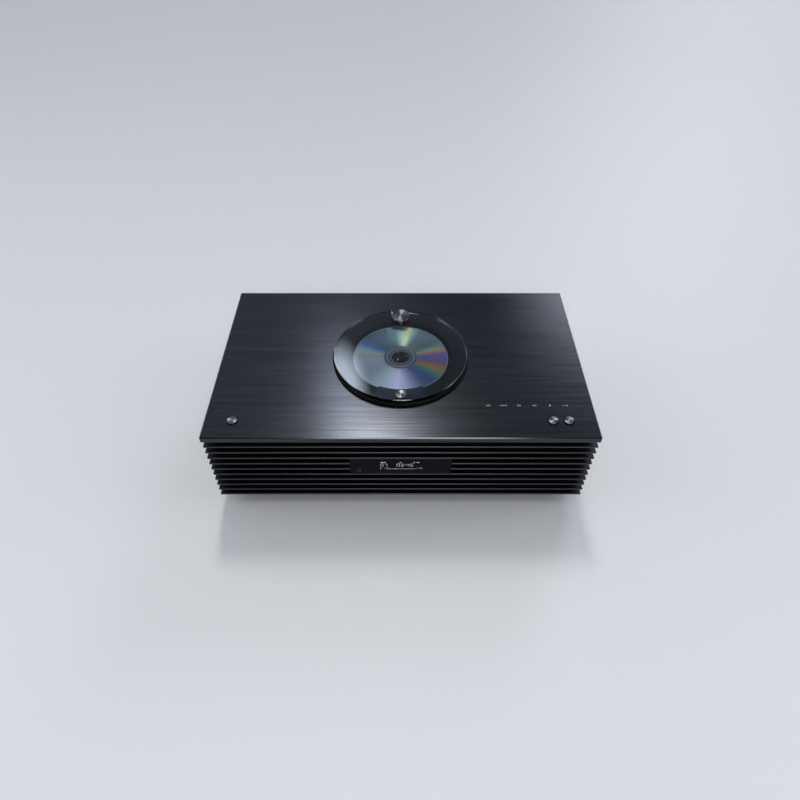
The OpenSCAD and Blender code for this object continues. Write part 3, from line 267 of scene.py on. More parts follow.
@dataclass(frozen=True)
class Spun(Finish):
    """Metal turned on a lathe: fine rings about a centre, and highlights that open like a bow tie."""

    centre: tuple[float, float] = (0.0, 0.0)
    shade: str = "#dfe2e6"
    # Drawn coarser than a lathe's rings, which would not show.
    groove: float = 0.45
    depth: float = 0.005
    spread: float = 0.08
    anisotropy: float = 0.9
    # Radius of the bright face, and the colour of the painted dark reflection on the bevel round it.
    face: float = 100.0
    shaded_bevel: str = "#1c1d20"

    def pattern(self, tree: Tree, surface: Node, place: Socket) -> None:
        """Noise along the distance from the centre, and a tangent that points away from it."""
        centre = (self.centre[0] * MM, self.centre[1] * MM, 0.0)
        moved = add_node(tree, "VectorMath", {0: place}, {1: centre}, operation="SUBTRACT")
        flat = add_node(tree, "VectorMath", {0: moved.outputs[0]}, {1: (1, 1, 0)}, operation="MULTIPLY")
        radius = add_node(tree, "VectorMath", {0: flat.outputs[0]}, operation="LENGTH")
        sockets = {"Scale": 1 / (MM * self.groove), "Detail": 2.0}
        rings = add_node(tree, "TexNoise", {"W": radius.outputs["Value"]}, sockets, noise_dimensions="1D")
        self.vary(tree, surface, rings.outputs[0], self.shade, self.spread, self.depth)
        # Past the face the metal's colour gives way to the painted dark reflection of the bevel.
        limits = {"From Min": self.face * MM, "From Max": (self.face + self.groove) * MM}
        edge = add_node(tree, "MapRange", {"Value": radius.outputs["Value"]}, limits).outputs[0]
        bright = surface.inputs["Base Color"].links[0].from_socket
        rim = {7: linear(self.shaded_bevel)}
        mixed = add_node(tree, "Mix", {0: edge, 6: bright}, rim, data_type="RGBA")
        tree.links.new(mixed.outputs[2], surface.inputs["Base Color"])
        self.fan_out(tree, surface, flat.outputs[0], self.anisotropy)


@dataclass(frozen=True)
class Woven(Finish):
    """Plain-woven cloth stretched upright: threads across and up, with dark gaps between them."""

    shade: str = "#1b1b1c"
    thread: float = 1.3
    depth: float = 0.15
    spread: float = 0.05
    unevenness: float = 0.4

    def pattern(self, tree: Tree, surface: Node, place: Socket) -> None:
        """Bands along X times bands along Z, one for each thread."""
        sockets = {"Scale": WAVE_REPEAT / (MM * self.thread), "Distortion": self.unevenness}
        waves = [
            add_node(tree, "TexWave", {"Vector": place}, sockets, bands_direction=axis) for axis in "XZ"
        ]
        sources = {i: wave.outputs["Fac"] for i, wave in enumerate(waves)}
        weave = add_node(tree, "Math", sources, operation="MULTIPLY")
        self.vary(tree, surface, weave.outputs[0], self.shade, self.spread, self.depth)


@dataclass(frozen=True)
class Acrylic(Finish):
    """Polished acrylic sheet: a hard clear gloss with the faint haze of wiping."""

    index: float = 1.49
    clear: float = 1.0
    haze: float = 0.012
    wipe: float = 25.0

    def pattern(self, tree: Tree, surface: Node, place: Socket) -> None:
        """Broad soft noise that lifts the roughness a little where a cloth has passed."""
        surface.inputs["IOR"].default_value = self.index
        surface.inputs["Transmission Weight"].default_value = self.clear
        sockets = {"Scale": 1 / (MM * self.wipe), "Detail": 3.0}
        smear = add_node(tree, "TexNoise", {"Vector": place}, sockets)
        limits = {"To Min": self.roughness, "To Max": self.roughness + self.haze}
        rough = add_node(tree, "MapRange", {"Value": smear.outputs[0]}, limits)
        tree.links.new(rough.outputs[0], surface.inputs["Roughness"])


@dataclass(frozen=True)
class DiscFilm(Finish):
    """Metallised polycarbonate disc: silver, with painted reflections of the colours its fine track spreads,
    and a clear hub.
    """

    inner: float = 21.6
    outer: float = 58.8
    edge: float = 0.5
    rim: float = 60.0
    hub_roughness: float = 0.08
    anisotropy: float = 0.6
    # Painted reflections of the light that the track spreads into colours, each spread evenly from its first
    # to its last direction, in degrees from +X towards +Y.
    painted_fans: tuple[tuple[float, float, tuple[str, ...]], ...] = (
        (-180, -112, ("#8a92a0", "#6d7886", "#728590")),
        (-103, -87, ("#827f98", "#828aa8", "#7c7a95")),
        (-70, -58, ("#525c84", "#3a4874")),
        (-44, -3, PAINTED_SPECTRUM),
        (24, 4, PAINTED_SPECTRUM[1:]),
        (32, 62, ("#41555b", "#3f4d58")),
        (70, 92, ("#5b857c", "#b4bb98", "#a9b594", "#6c968a")),
        (100, 138, ("#486670", "#435166")),
        (152, 175, ("#4664a0", "#6099aa", "#97a3a4", "#978f84")),
        (180, 180, ("#8a92a0",)),
    )
    # Rings of the clear hub: radius in millimetres and the colour from there outwards, partly the hub's grey
    # tone and partly painted highlights where its rings' edges catch the light.
    hub: tuple[tuple[float, str], ...] = (
        (0.0, "#0c0d0e"),
        (11.0, "#101113"),
        (11.4, "#8e9196"),
        (12.0, "#596069"),
        (16.6, "#626973"),
        (17.2, "#949aa3"),
        (17.8, "#949aa3"),
        (18.4, "#474c54"),
        (20.4, "#565c65"),
        (21.0, "#868c95"),
    )

    def pattern(self, tree: Tree, surface: Node, place: Socket) -> None:
        """A ramp round the axis for the film's painted reflections, one along the radius for the hub, and a
        ring between them.
        """
        flat = add_node(tree, "VectorMath", {0: place}, {1: (1, 1, 0)}, operation="MULTIPLY").outputs[0]
        radius = add_node(tree, "VectorMath", {0: flat}, operation="LENGTH").outputs["Value"]
        turn = add_node(tree, "TexGradient", {"Vector": flat}, gradient_type="RADIAL").outputs["Fac"]
        # This ramp paints the reflected colours of the track by direction round the axis.
        film = add_node(tree, "ValToRGB", {"Fac": turn})
        spread = [(np.linspace(first, last, len(hues)), hues) for first, last, hues in self.painted_fans]
        set_stops(film, [(0.5 + a / 360, hue) for angles, hues in spread for a, hue in zip(angles, hues)])
        share = add_node(tree, "Math", {0: radius}, {1: self.rim * MM}, operation="DIVIDE")
        # The hub's ramp carries its grey tone and the painted highlights on its rings' edges.
        clear = add_node(tree, "ValToRGB", {"Fac": share.outputs[0]})
        set_stops(clear, [(r / self.rim, colour) for r, colour in self.hub])
        sides = [(self.inner - self.edge, self.inner), (self.outer, self.outer - self.edge)]
        steps = [
            add_node(tree, "MapRange", {"Value": radius}, {"From Min": a * MM, "From Max": b * MM})
            for a, b in sides
        ]
        sources = {i: step.outputs[0] for i, step in enumerate(steps)}
        coated = add_node(tree, "Math", sources, operation="MULTIPLY").outputs[0]
        colours = {0: coated, 6: clear.outputs[0], 7: film.outputs[0]}
        mixed = add_node(tree, "Mix", colours, data_type="RGBA")
        tree.links.new(mixed.outputs[2], surface.inputs["Base Color"])
        metal = add_node(tree, "Math", {0: coated}, {1: self.metallic}, operation="MULTIPLY")
        tree.links.new(metal.outputs[0], surface.inputs["Metallic"])
        limits = {"To Min": self.hub_roughness, "To Max": self.roughness}
        gloss = add_node(tree, "MapRange", {"Value": coated}, limits)
        tree.links.new(gloss.outputs[0], surface.inputs["Roughness"])
        self.fan_out(tree, surface, flat, self.anisotropy)


@dataclass(frozen=True)
class CircuitBoard(Finish):
    """Glass-epoxy board under solder mask: copper tracks that show as paler lines."""

    track: str = "#2f6b47"
    cell: float = 2.4
    # Width of a track, length of a cell and shift of each row, as shares of a cell's height or length.
    width: float = 0.06
    length: float = 3.0
    shift: float = 0.37
    depth: float = 0.03

    def pattern(self, tree: Tree, surface: Node, place: Socket) -> None:
        """Brick courses as a grid of tracks, with rows moved on so that few lines run through."""
        sockets = {
            "Color1": linear(self.colour),
            "Color2": linear(self.colour),
            "Mortar": linear(self.track),
            "Scale": 1 / (MM * self.cell),
            "Mortar Size": self.width,
            "Brick Width": self.length,
            "Row Height": 1.0,
        }
        tracks = add_node(tree, "TexBrick", {"Vector": place}, sockets, offset=self.shift)
        tree.links.new(tracks.outputs["Color"], surface.inputs["Base Color"])
        height = {"Height": tracks.outputs["Fac"]}
        relief = add_node(tree, "Bump", height, {"Distance": self.depth * MM})
        tree.links.new(relief.outputs[0], surface.inputs["Normal"])


@dataclass(frozen=True)
class Glow(Finish):
    """Lit display figures: cool white dots behind the window."""

    light: float = 0.3
    dimmed: float = 0.85
    dot: float = 0.5

    def pattern(self, tree: Tree, surface: Node, place: Socket) -> None:
        """A checker of dots that dims every other one a little."""
        surface.inputs["Emission Color"].default_value = linear(self.colour)
        dots = add_node(tree, "TexChecker", {"Vector": place}, {"Scale": 1 / (MM * self.dot)})
        limits = {"To Min": self.light * self.dimmed, "To Max": self.light}
        lit = add_node(tree, "MapRange", {"Value": dots.outputs["Fac"]}, limits)
        tree.links.new(lit.outputs[0], surface.inputs["Emission Strength"])


class Palette:
    """The console's finishes, each named for the real material and how its surface was made."""

    # Black anodised aluminium plate, brushed along its width: charcoal with a cool sheen. The hairlines are
    # drawn 1.1 mm wide, several times coarser than real ones, which would not show at this distance.
    plate = Brushed("brushed_black_anodised_aluminium", "#303237", 0.19, 1.0, "#4d4f54")
    # Black anodised aluminium fins with a bead-blasted satin face: dark, with soft edge lines.
    fins = Grained(
        "blasted_black_anodised_aluminium", "#3b3c41", 0.38, 1.0, "#44454a", 0.5, 0.004, 0.06, (6, 1, 1)
    )
    # Black ABS from a spark-eroded mould: a fine even grain that breaks up highlights.
    moulding = Grained("spark_grained_black_abs", "#06080d", 0.6, 0.0, "#0b0c10", 0.5, 0.012, gloss=0.1)
    # Powder-coated steel sheet: near-black with a slight orange-peel ripple.
    panel = Grained("powder_coated_steel", "#151617", 0.5, 0.0, "#1e1f20", 0.9, 0.03)
    # Fibreboard stained black: matt, with short fibres that lie flat.
    board = Grained("stained_fibreboard", "#211e1b", 0.8, 0.0, "#2f2a25", 0.8, 0.05, 0.08, (4, 1, 1))
    # Black polyester speaker cloth in a plain weave, drawn a little coarse so that its threads show.
    cloth = Woven("woven_polyester_speaker_cloth", "#070708", 0.85)
    # Cast acrylic sheet with flame-polished edges: clear and glossy.
    lid = Acrylic("polished_cast_acrylic", "#f1f5f8", 0.0)
    # Anodised aluminium arc under the lid's front, blasted satin: dark blue-grey.
    grip = Grained("blasted_dark_anodised_aluminium", "#171a20", 0.4, 1.0, "#1d2027", 0.5, 0.004)
    # Smoked acrylic over the display: near-black and glossy, coated against glare.
    window = Acrylic("coated_smoked_acrylic", "#050607", 0.02, index=1.17, clear=0.0, haze=0.04)
    # Zinc-plated steel: pale grey metal with a faint rolled grain.
    steel = Grained("zinc_plated_steel", "#9a9da3", 0.32, 1.0, "#b4b7bc", 0.8, 0.004, 0.06, (8, 1, 1))
    # Black-oxide steel screws: dark metal with a dry sheen.
    dark_steel = Grained("black_oxide_steel", "#2a2b2e", 0.4, 1.0, "#3a3b3f", 0.4, 0.006)
    # Turned brass: warm yellow metal with fine tool marks.
    brass = Grained("turned_brass", "#b48a3c", 0.3, 1.0, "#c9a055", 0.3, 0.005, 0.06, (1, 1, 6))
    # Sintered bronze of the pivot bush, soaked with oil: dark brown and dull.
    bronze = Grained("sintered_bronze", "#33291f", 0.6, 0.6, "#40342a", 0.4, 0.02)
    # Metallised polycarbonate: silver film over a fine track, with painted reflections of the colours the
    # track spreads light into.
    disc = DiscFilm("metallised_polycarbonate", "#8d949b", 0.34, 0.55)
    # Moulded nitrile rubber: soft black without gloss.
    rubber = Grained("moulded_nitrile_rubber", "#131314", 0.78, 0.0, "#1b1b1c", 0.7, 0.03)
    # Coated paper pulp of a loudspeaker cone: dark with matted fibres.
    paper = Grained("coated_paper_pulp", "#17171a", 0.72, 0.0, "#232327", 1.2, 0.06)
    # Sintered ferrite: dull dark grey and slightly rough.
    ferrite = Grained("sintered_ferrite", "#303134", 0.62, 0.1, "#3d3e42", 0.7, 0.02)
    # Glass-epoxy circuit board under green solder mask.
    circuit = CircuitBoard("glass_epoxy_circuit_board", "#1c4a31", 0.42)
    # Display module: dark glass with a faint coated bloom.
    display = Acrylic("coated_display_glass", "#0b0d10", 0.06, clear=0.0, haze=0.08, wipe=12.0)
    # Acetal gear: off-white, waxy and smooth.
    acetal = Grained("moulded_acetal", "#d8d6cd", 0.38, 0.0, "#e2e0d8", 1.5, 0.006)
    # Coated glass lens: clear with a cool gloss.
    lens = Acrylic("coated_lens_glass", "#c9d4ee", 0.0, index=1.6)
    # Extruded aluminium heat sink, anodised natural: soft grey with die lines along its fins.
    extrusion = Grained("extruded_aluminium", "#a3a6aa", 0.36, 1.0, "#b4b7ba", 0.5, 0.008, 0.06, (1, 20, 1))
    # Pale screen-printed ink: matt, thin and a little uneven.
    ink = Grained("screen_printed_ink", "#a7a9ad", 0.6, 0.0, "#c3c5c8", 0.4, 0.004)
    # Dim printed mark on the window.
    dim_ink = Grained("dim_screen_printed_ink", "#3b3d41", 0.5, 0.0, "#4a4c50", 0.4, 0.004)
    # Lit display figures: cool white.
    figures = Glow("lit_display_figures", "#c3cad0", 0.5)
    # Gold-plated contact springs: yellow metal, polished.
    contact = Grained("gold_plated_contact", "#d9a94a", 0.22, 1.0, "#e6bd69", 0.3, 0.003)
    # Black nylon inside a socket: dark and slightly waxy.
    nylon = Grained("moulded_black_nylon", "#1a1b1d", 0.42, 0.0, "#242527", 0.6, 0.01)

    by_slot: ClassVar[dict[str, Finish]] = {
        "black_anodised_plate": plate,
        "black_fins": fins,
        "black_moulding": moulding,
        "black_panel": panel,
        "fibreboard": board,
        "speaker_cloth": cloth,
        "clear_acrylic": lid,
        "smoked_acrylic": window,
        "steel": steel,
        "dark_screw": dark_steel,
        "brass": brass,
        "disc": disc,
        "rubber": rubber,
        "paper_cone": paper,
        "magnet": ferrite,
        "circuit_board": circuit,
        "display_panel": display,
        "gear_plastic": acetal,
        "lens": lens,
        "aluminium": extrusion,
    }

    @staticmethod
    def spun(node: str, colour: str, shade: str, shaded_bevel: float = 0.0) -> Spun:
        """Turned aluminium with its rings about one piece's own axis.

        Args:
            node: construction piece that is turned about the middle of its box.
            colour: hex colour of the metal.
            shade: hex colour of its brighter rings.
            shaded_bevel: how far inside the box's side the bright face ends and its painted dark reflection
                starts, in millimetres.

        Returns:
            The finish.
        """
        low, high = box_mm(node)
        x, y, _ = (low + high) / 2
        face = (high[0] - low[0]) / 2 - shaded_bevel
        name = f"turned_aluminium_{node}"
        return Spun(name, colour, 0.25, 1.0, (float(x), float(y)), shade, face=float(face))


@dataclass(frozen=True)
class Surface:
    """A surface's points on a grid, in millimetres: rows along its path and columns round its profile."""

    points: np.ndarray
    closed_path: bool = False
    capped: bool = True

    def quads(self) -> np.ndarray:
        """Corner numbers of the grid's quads: each point with the next column and the next row."""
        rows, columns = self.points.shape[:2]
        steps = rows if self.closed_path else rows - 1
        row, column = np.meshgrid(np.arange(steps), np.arange(columns), indexing="ij")
        next_row, next_column = (row + 1) % rows, (column + 1) % columns
        corners = [(row, column), (row, next_column), (next_row, next_column), (next_row, column)]
        return np.stack([r * columns + c for r, c in corners], -1).reshape(-1, 4)

    def faces(self, start: int) -> list[list[int]]:
        """Faces of the surface, with its end caps.

        Args:
            start: number of the surface's first point in the mesh.

        Returns:
            Corner numbers of each face.
        """
        rows, columns = self.points.shape[:2]
        found = (self.quads() + start).tolist()
        if self.capped and not self.closed_path:
            first = np.arange(columns) + start
            found += [first[::-1].tolist(), (first + (rows - 1) * columns).tolist()]
        return found


@dataclass(frozen=True)
class Plane:
    """A flat place on the console: a corner point, its right and up directions and the way it faces."""

    origin: tuple[float, float, float]
    right: tuple[float, float, float]
    up: tuple[float, float, float]

    def lay(self, outline: np.ndarray, thickness: float) -> Surface:
        """A flat outline raised off the plane: each corner at origin + x right + y up + height facing.

        Args:
            outline: corners in the plane, n x 2 in millimetres.
            thickness: how far the outline stands off.

        Returns:
            The closed surface.
        """
        right, up = np.array(self.right), np.array(self.up)
        flat = np.array(self.origin) + outline[:, :1] * right + outline[:, 1:] * up
        heights = np.array([0.0, thickness])[:, None, None]
        return Surface(flat[None] + heights * np.cross(right, up))

    def ring(self, centre: tuple[float, float], inner: float, outer: float, thickness: float) -> Surface:
        """A flat ring on the plane: a rectangle carried round a circle.

        Args:
            centre: middle of the ring in the plane.
            inner: inner radius.
            outer: outer radius.
            thickness: how far the ring stands off.

        Returns:
            The closed surface.
        """
        right, up = np.array(self.right), np.array(self.up)
        turn = np.linspace(0, 2 * np.pi, RING_STEPS, endpoint=False)[:, None]
        radius = np.array([inner, outer, outer, inner])[None]
        height = np.array([0.0, 0.0, thickness, thickness])[None]
        x = centre[0] + radius * np.cos(turn)
        y = centre[1] + radius * np.sin(turn)
        raised = height[..., None] * np.cross(right, up)
        points = np.array(self.origin) + x[..., None] * right + y[..., None] * up + raised
        return Surface(points, closed_path=True)


def bar(width: float, height: float, x: float = 0.0, y: float = 0.0) -> np.ndarray:
    """Outline of a bar about a middle point: half a width and half a height each way."""
    return np.array([x, y]) + np.array([[-1, -1], [1, -1], [1, 1], [-1, 1]]) * (width / 2, height / 2)


def arrow(width: float, height: float, x: float = 0.0, y: float = 0.0) -> np.ndarray:
    """Outline of a triangle that points right, or left where its width is negative."""
    corners = np.array([[-width / 2, -height / 2], [width / 2, 0.0], [-width / 2, height / 2]])
    return np.array([x, y]) + (corners if width > 0 else corners[::-1])


def lathe(profile: np.ndarray, middle: Sequence[float], axis: Sequence[float], steps: int = 48) -> Surface:
    """A profile turned about an axis: each point at its radius round the axis and its height along it.

    Args:
        profile: radius and height of each point, n x 2.
        middle: point on the axis at height 0.
        axis: unit direction of the axis, along X, Y or Z.
        steps: columns round the axis.

    Returns:
        The surface, open at its ends unless the profile starts and ends on the axis.
    """
    along = np.array(axis, float)
    side = np.roll(along, 1)
    other = np.cross(along, side)
    turn = np.linspace(0, 2 * np.pi, steps, endpoint=False)
    spoke = np.cos(turn)[:, None] * side + np.sin(turn)[:, None] * other
    points = profile[:, :1, None] * spoke[None] + profile[:, 1:, None] * along
    return Surface(np.array(middle) + points, capped=False)


def add_object(name: str, data: bpy.types.ID) -> bpy.types.Object:
    """Puts an object with its data into the scene."""
    made = bpy.data.objects.new(name, data)
    bpy.context.scene.collection.objects.link(made)
    return made


def add_piece(
    name: str,
    surfaces: Iterable[Surface],
    finish: Finish,
    body: str = CABINET,
    stands_for: Sequence[str] = (),
) -> bpy.types.Object:
    """Makes one piece from its surfaces, gives it its finish and lets it ride on a body.

    Args:
        name: name of the piece.
        surfaces: its surfaces, in millimetres.
        finish: its finish.
        body: body that carries it.
        stands_for: construction pieces that it replaces.

    Returns:
        The new object, at the origin with its place in its mesh.
    """
    points, faces, count = [], [], 0
    for surface in surfaces:
        faces += surface.faces(count)
        points.append(surface.points.reshape(-1, 3) * MM)
        count += points[-1].shape[0]
    mesh = bpy.data.meshes.new(name)
    mesh.from_pydata(np.concatenate(points), [], faces)
    work = bmesh.new()
    work.from_mesh(mesh)
    bmesh.ops.remove_doubles(work, verts=work.verts, dist=WELD)
    bmesh.ops.recalc_face_normals(work, faces=work.faces)
    work.to_mesh(mesh)
    work.free()
    mesh.shade_smooth()
    mesh.set_sharp_from_angle(angle=math.radians(SHARP_ANGLE))
    mesh.materials.append(finish.material())
    made = add_object(name, mesh)
    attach(made, body)
    if stands_for:
        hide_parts(*stands_for)
    LOG.info("made %s: %d points, %s", name, len(mesh.vertices), finish.name)
    return made


def dress(node: str, finish: Finish) -> None:
    """Gives a construction piece its finish."""
    materials = frame["nodes"][node].data.materials
    materials.clear()
    materials.append(finish.material())
    LOG.info("dressed %s: %s", node, finish.name)


@dataclass
class Construction:
    """The construction pieces that keep their shape and take a finish."""

    buttons: tuple[str, ...] = ("power_button", "volume_down_button", "volume_up_button")
    lid_metal: tuple[str, ...] = ("lid_knob", "lid_pivot_cap")
    # The buttons' painted dark reflection on their edge is measured from the flange hidden under the plate, 2
    # mm wider than the face.
    button_shaded_bevel: float = 3.1

    def own_finishes(self) -> dict[str, Finish]:
        """Finishes of pieces that don't take their slot's: turned metal, and the pivot's bush and shaft."""
        found: dict[str, Finish] = {
            node: Palette.spun(node, "#686a6e", "#7c7e82", self.button_shaded_bevel) for node in self.buttons
        }
        found |= {node: Palette.spun(node, "#53565b", "#65686d") for node in self.lid_metal}
        return found | {"lid_pivot_bush": Palette.bronze, "lid_pivot_shaft": Palette.dark_steel}

    def dress(self) -> None:
        """Dresses each piece with its own finish, or else with its material slot's."""
        own = self.own_finishes()
        for part in frame["record"]["subparts"]:
            node = part["node"]
            dress(node, own[node] if node in own else Palette.by_slot[part["material_slot"]])


@dataclass
class LidGrip:
    """The dark arc under the lid's front, set a hair below the lid so that light passes between them."""

    clearance: float = 0.1
    chamfer: float = 0.15
    steps: int = 33

    def build(self) -> None:
        """A bevelled rectangle carried along an arc about the lid's axis, as far as the solid reaches."""
        low, high = box_mm("lid_grip_plate")
        outer = -low[1]
        half = math.asin(high[0] / outer)
        inner = -high[1] / math.cos(half)
        near, far = inner + self.chamfer, outer - self.chamfer
        base, top = low[2], high[2] - self.clearance
        lower, upper = base + self.chamfer, top - self.chamfer
        radius = np.array([near, far, outer, outer, far, near, inner, inner])
        height = np.array([base, base, lower, upper, top, top, upper, lower])
        turn = np.linspace(-half, half, self.steps)[:, None]
        points = np.stack([radius * np.sin(turn), -radius * np.cos(turn), height + 0 * turn], -1)
        arc, replaced = [Surface(points)], ("lid_grip_plate",)
        add_piece("lid_grip_arc", arc, Palette.grip, "lid", replaced)


class KeyMark(Enum):
    """Plain marks of the touch keys, from the right-hand key to the left-hand one."""

    PLAY_PAUSE = "play or pause"
    STOP = "stop"
    NEXT = "next track"
    PREVIOUS = "track before"
    LIST = "list"
    SOURCE = "source"


@dataclass
class TouchKeys:
    """The row of touch keys: a printed mark for each, the right-hand one behind the volume-up button."""

    height: float = 1.9
    stroke: float = 0.6
    pitch: float = 18.05
    thickness: float = 0.02
    # Length of an arrow as a share of its height.
    arrow_share: float = 0.8

    def outlines(self, mark: KeyMark) -> list[np.ndarray]:
        """Outlines of one mark about its own middle.

        Args:
            mark: which mark.

        Returns:
            Flat outlines in millimetres.
        """
        high, thin = self.height, self.stroke
        tip = self.arrow_share * high
        shapes = {
            KeyMark.PLAY_PAUSE: [arrow(tip, high, -1.7), bar(thin, high, 1.1), bar(thin, high, 2.3)],
            KeyMark.STOP: [bar(high, high)],
            KeyMark.NEXT: [arrow(tip, high, -1.2), arrow(tip, high, 0.4), bar(thin, high, 1.7)],
            KeyMark.PREVIOUS: [arrow(-tip, high, 1.2), arrow(-tip, high, -0.4), bar(thin, high, -1.7)],
            KeyMark.LIST: [bar(2.0, high / 2, x) for x in (-2.9, 0.0, 2.9)],
            KeyMark.SOURCE: [bar(2.2, thin, -1.3), arrow(tip, high, 0.7), bar(thin, high, 2.1)],
        }
        return shapes[mark]

    def build(self) -> None:
        """Lays the marks on the plate from the right, a third of the way across the board under them."""
        low, high = box_mm("touch_board")
        right = middle_mm("volume_up_button")[0]
        row = low[1] + (high[1] - low[1]) / 3
        top = box_mm("top_plate")[1][2]
        marks = []
        for place, mark in enumerate(KeyMark):
            plane = Plane((right - place * self.pitch, row, top), *TOP)
            marks += [plane.lay(outline, self.thickness) for outline in self.outlines(mark)]
        add_piece("touch_key_marks", marks, Palette.ink)


@dataclass
class DisplayFace:
    """What the display shows through its window: a track number, a time, small signs and a progress line."""

    figure_height: float = 5.0
    figure_width: float = 2.9
    stroke: float = 0.5
    # Gap at a stroke's ends, as a share of the stroke's width.
    stroke_gap: float = 0.25
    thickness: float = 0.03
    ring_place: tuple[float, float] = (-49.5, 7.1)
    ring_radii: tuple[float, float] = (1.9, 2.5)
    # Heights of the two rows of figures over the window's lower edge, and the size of the small ones.
    row: float = 17.2
    small_row: float = 10.9
    small_size: float = 0.42
    # Figures of each row with their places to the right of the window's middle.
    figures: tuple[tuple[int, float], ...] = (
        (0, -22.0), (7, -17.6), (0, -3.0), (3, 1.4), (4, 8.4), (5, 12.8)
    )
    small_figures: tuple[tuple[int, float], ...] = (
        (1, -20.0), (2, -17.0), (6, -14.9), (4, 19.6), (3, 22.6), (0, 24.7)
    )
    # Dots between the time's minutes and seconds: size, place to the right and distance from the row.
    colon: tuple[float, float, float] = (0.7, 4.9, 1.1)
    # Plain signs: outline, width, height, place to the right and height over the window's lower edge.
    signs: ClassVar[tuple[tuple[Callable[..., np.ndarray], float, float, float, float], ...]] = (
        (arrow, 1.8, 2.0, -23.2, 10.9),
        (bar, 31.0, 0.45, 2.0, 10.0),
        (bar, 0.9, 1.6, -6.0, 10.0),
        (bar, 6.5, 1.0, -20.5, 22.3),
        (arrow, 2.2, 2.0, 0.0, 22.3),
        (bar, 1.6, 1.6, 15.8, 22.3),
        (bar, 3.4, 1.0, 20.4, 22.3),
    )
    # Seven strokes of a figure: middle as shares of its width and height, and whether it stands upright.
    strokes: tuple[tuple[float, float, bool], ...] = (
        (0.0, 0.5, False),
        (0.5, 0.25, True),
        (0.5, -0.25, True),
        (0.0, -0.5, False),
        (-0.5, -0.25, True),
        (-0.5, 0.25, True),
        (0.0, 0.0, False),
    )
    # Strokes that are lit in each figure from 0 to 9.
    lit: tuple[str, ...] = (
        "012345", "12", "01346", "01236", "1256", "02356", "023456", "012", "0123456", "012356"
    )

    def figure(self, digit: int, x: float, y: float, size: float = 1.0) -> list[np.ndarray]:
        """Outlines of one seven-stroke figure.

        Args:
            digit: from 0 to 9.
            x: middle of the figure, to the right.
            y: middle of the figure, upwards.
            size: share of the full size.

        Returns:
            One six-cornered outline for each lit stroke.
        """
        wide, high, thin = (size * v for v in (self.figure_width, self.figure_height, self.stroke))
        found = []
        for place in self.lit[digit]:
            across, along, upright = self.strokes[int(place)]
            length = (high / 2 if upright else wide) - self.stroke_gap * thin
            tip, side = length / 2, thin / 2
            inset = tip - side
            lower = [(-tip, 0.0), (-inset, -side), (inset, -side)]
            corners = np.array(lower + [(-right, -up) for right, up in lower])
            corners = corners[:, ::-1] * (-1, 1) if upright else corners
            found.append(corners + (x + across * wide, y + along * high))
        return found

    def build(self) -> None:
        """Lays the lit figures and the indicator ring on the window's face."""
        low, _ = box_mm("display_window")
        plane = Plane((0.0, float(low[1]), float(low[2])), *FRONT)
        shapes = [stroke for digit, x in self.figures for stroke in self.figure(digit, x, self.row)]
        dot, place, offset = self.colon
        shapes += [bar(dot, dot, place, self.row + side) for side in (-offset, offset)]
        for digit, x in self.small_figures:
            shapes += self.figure(digit, x, self.small_row, self.small_size)
        shapes += [outline(*sizes) for outline, *sizes in self.signs]
        add_piece("display_figures", [plane.lay(s, self.thickness) for s in shapes], Palette.figures)
        ring = plane.ring(self.ring_place, *self.ring_radii, self.thickness)
        add_piece("display_indicator_ring", [ring], Palette.dim_ink)


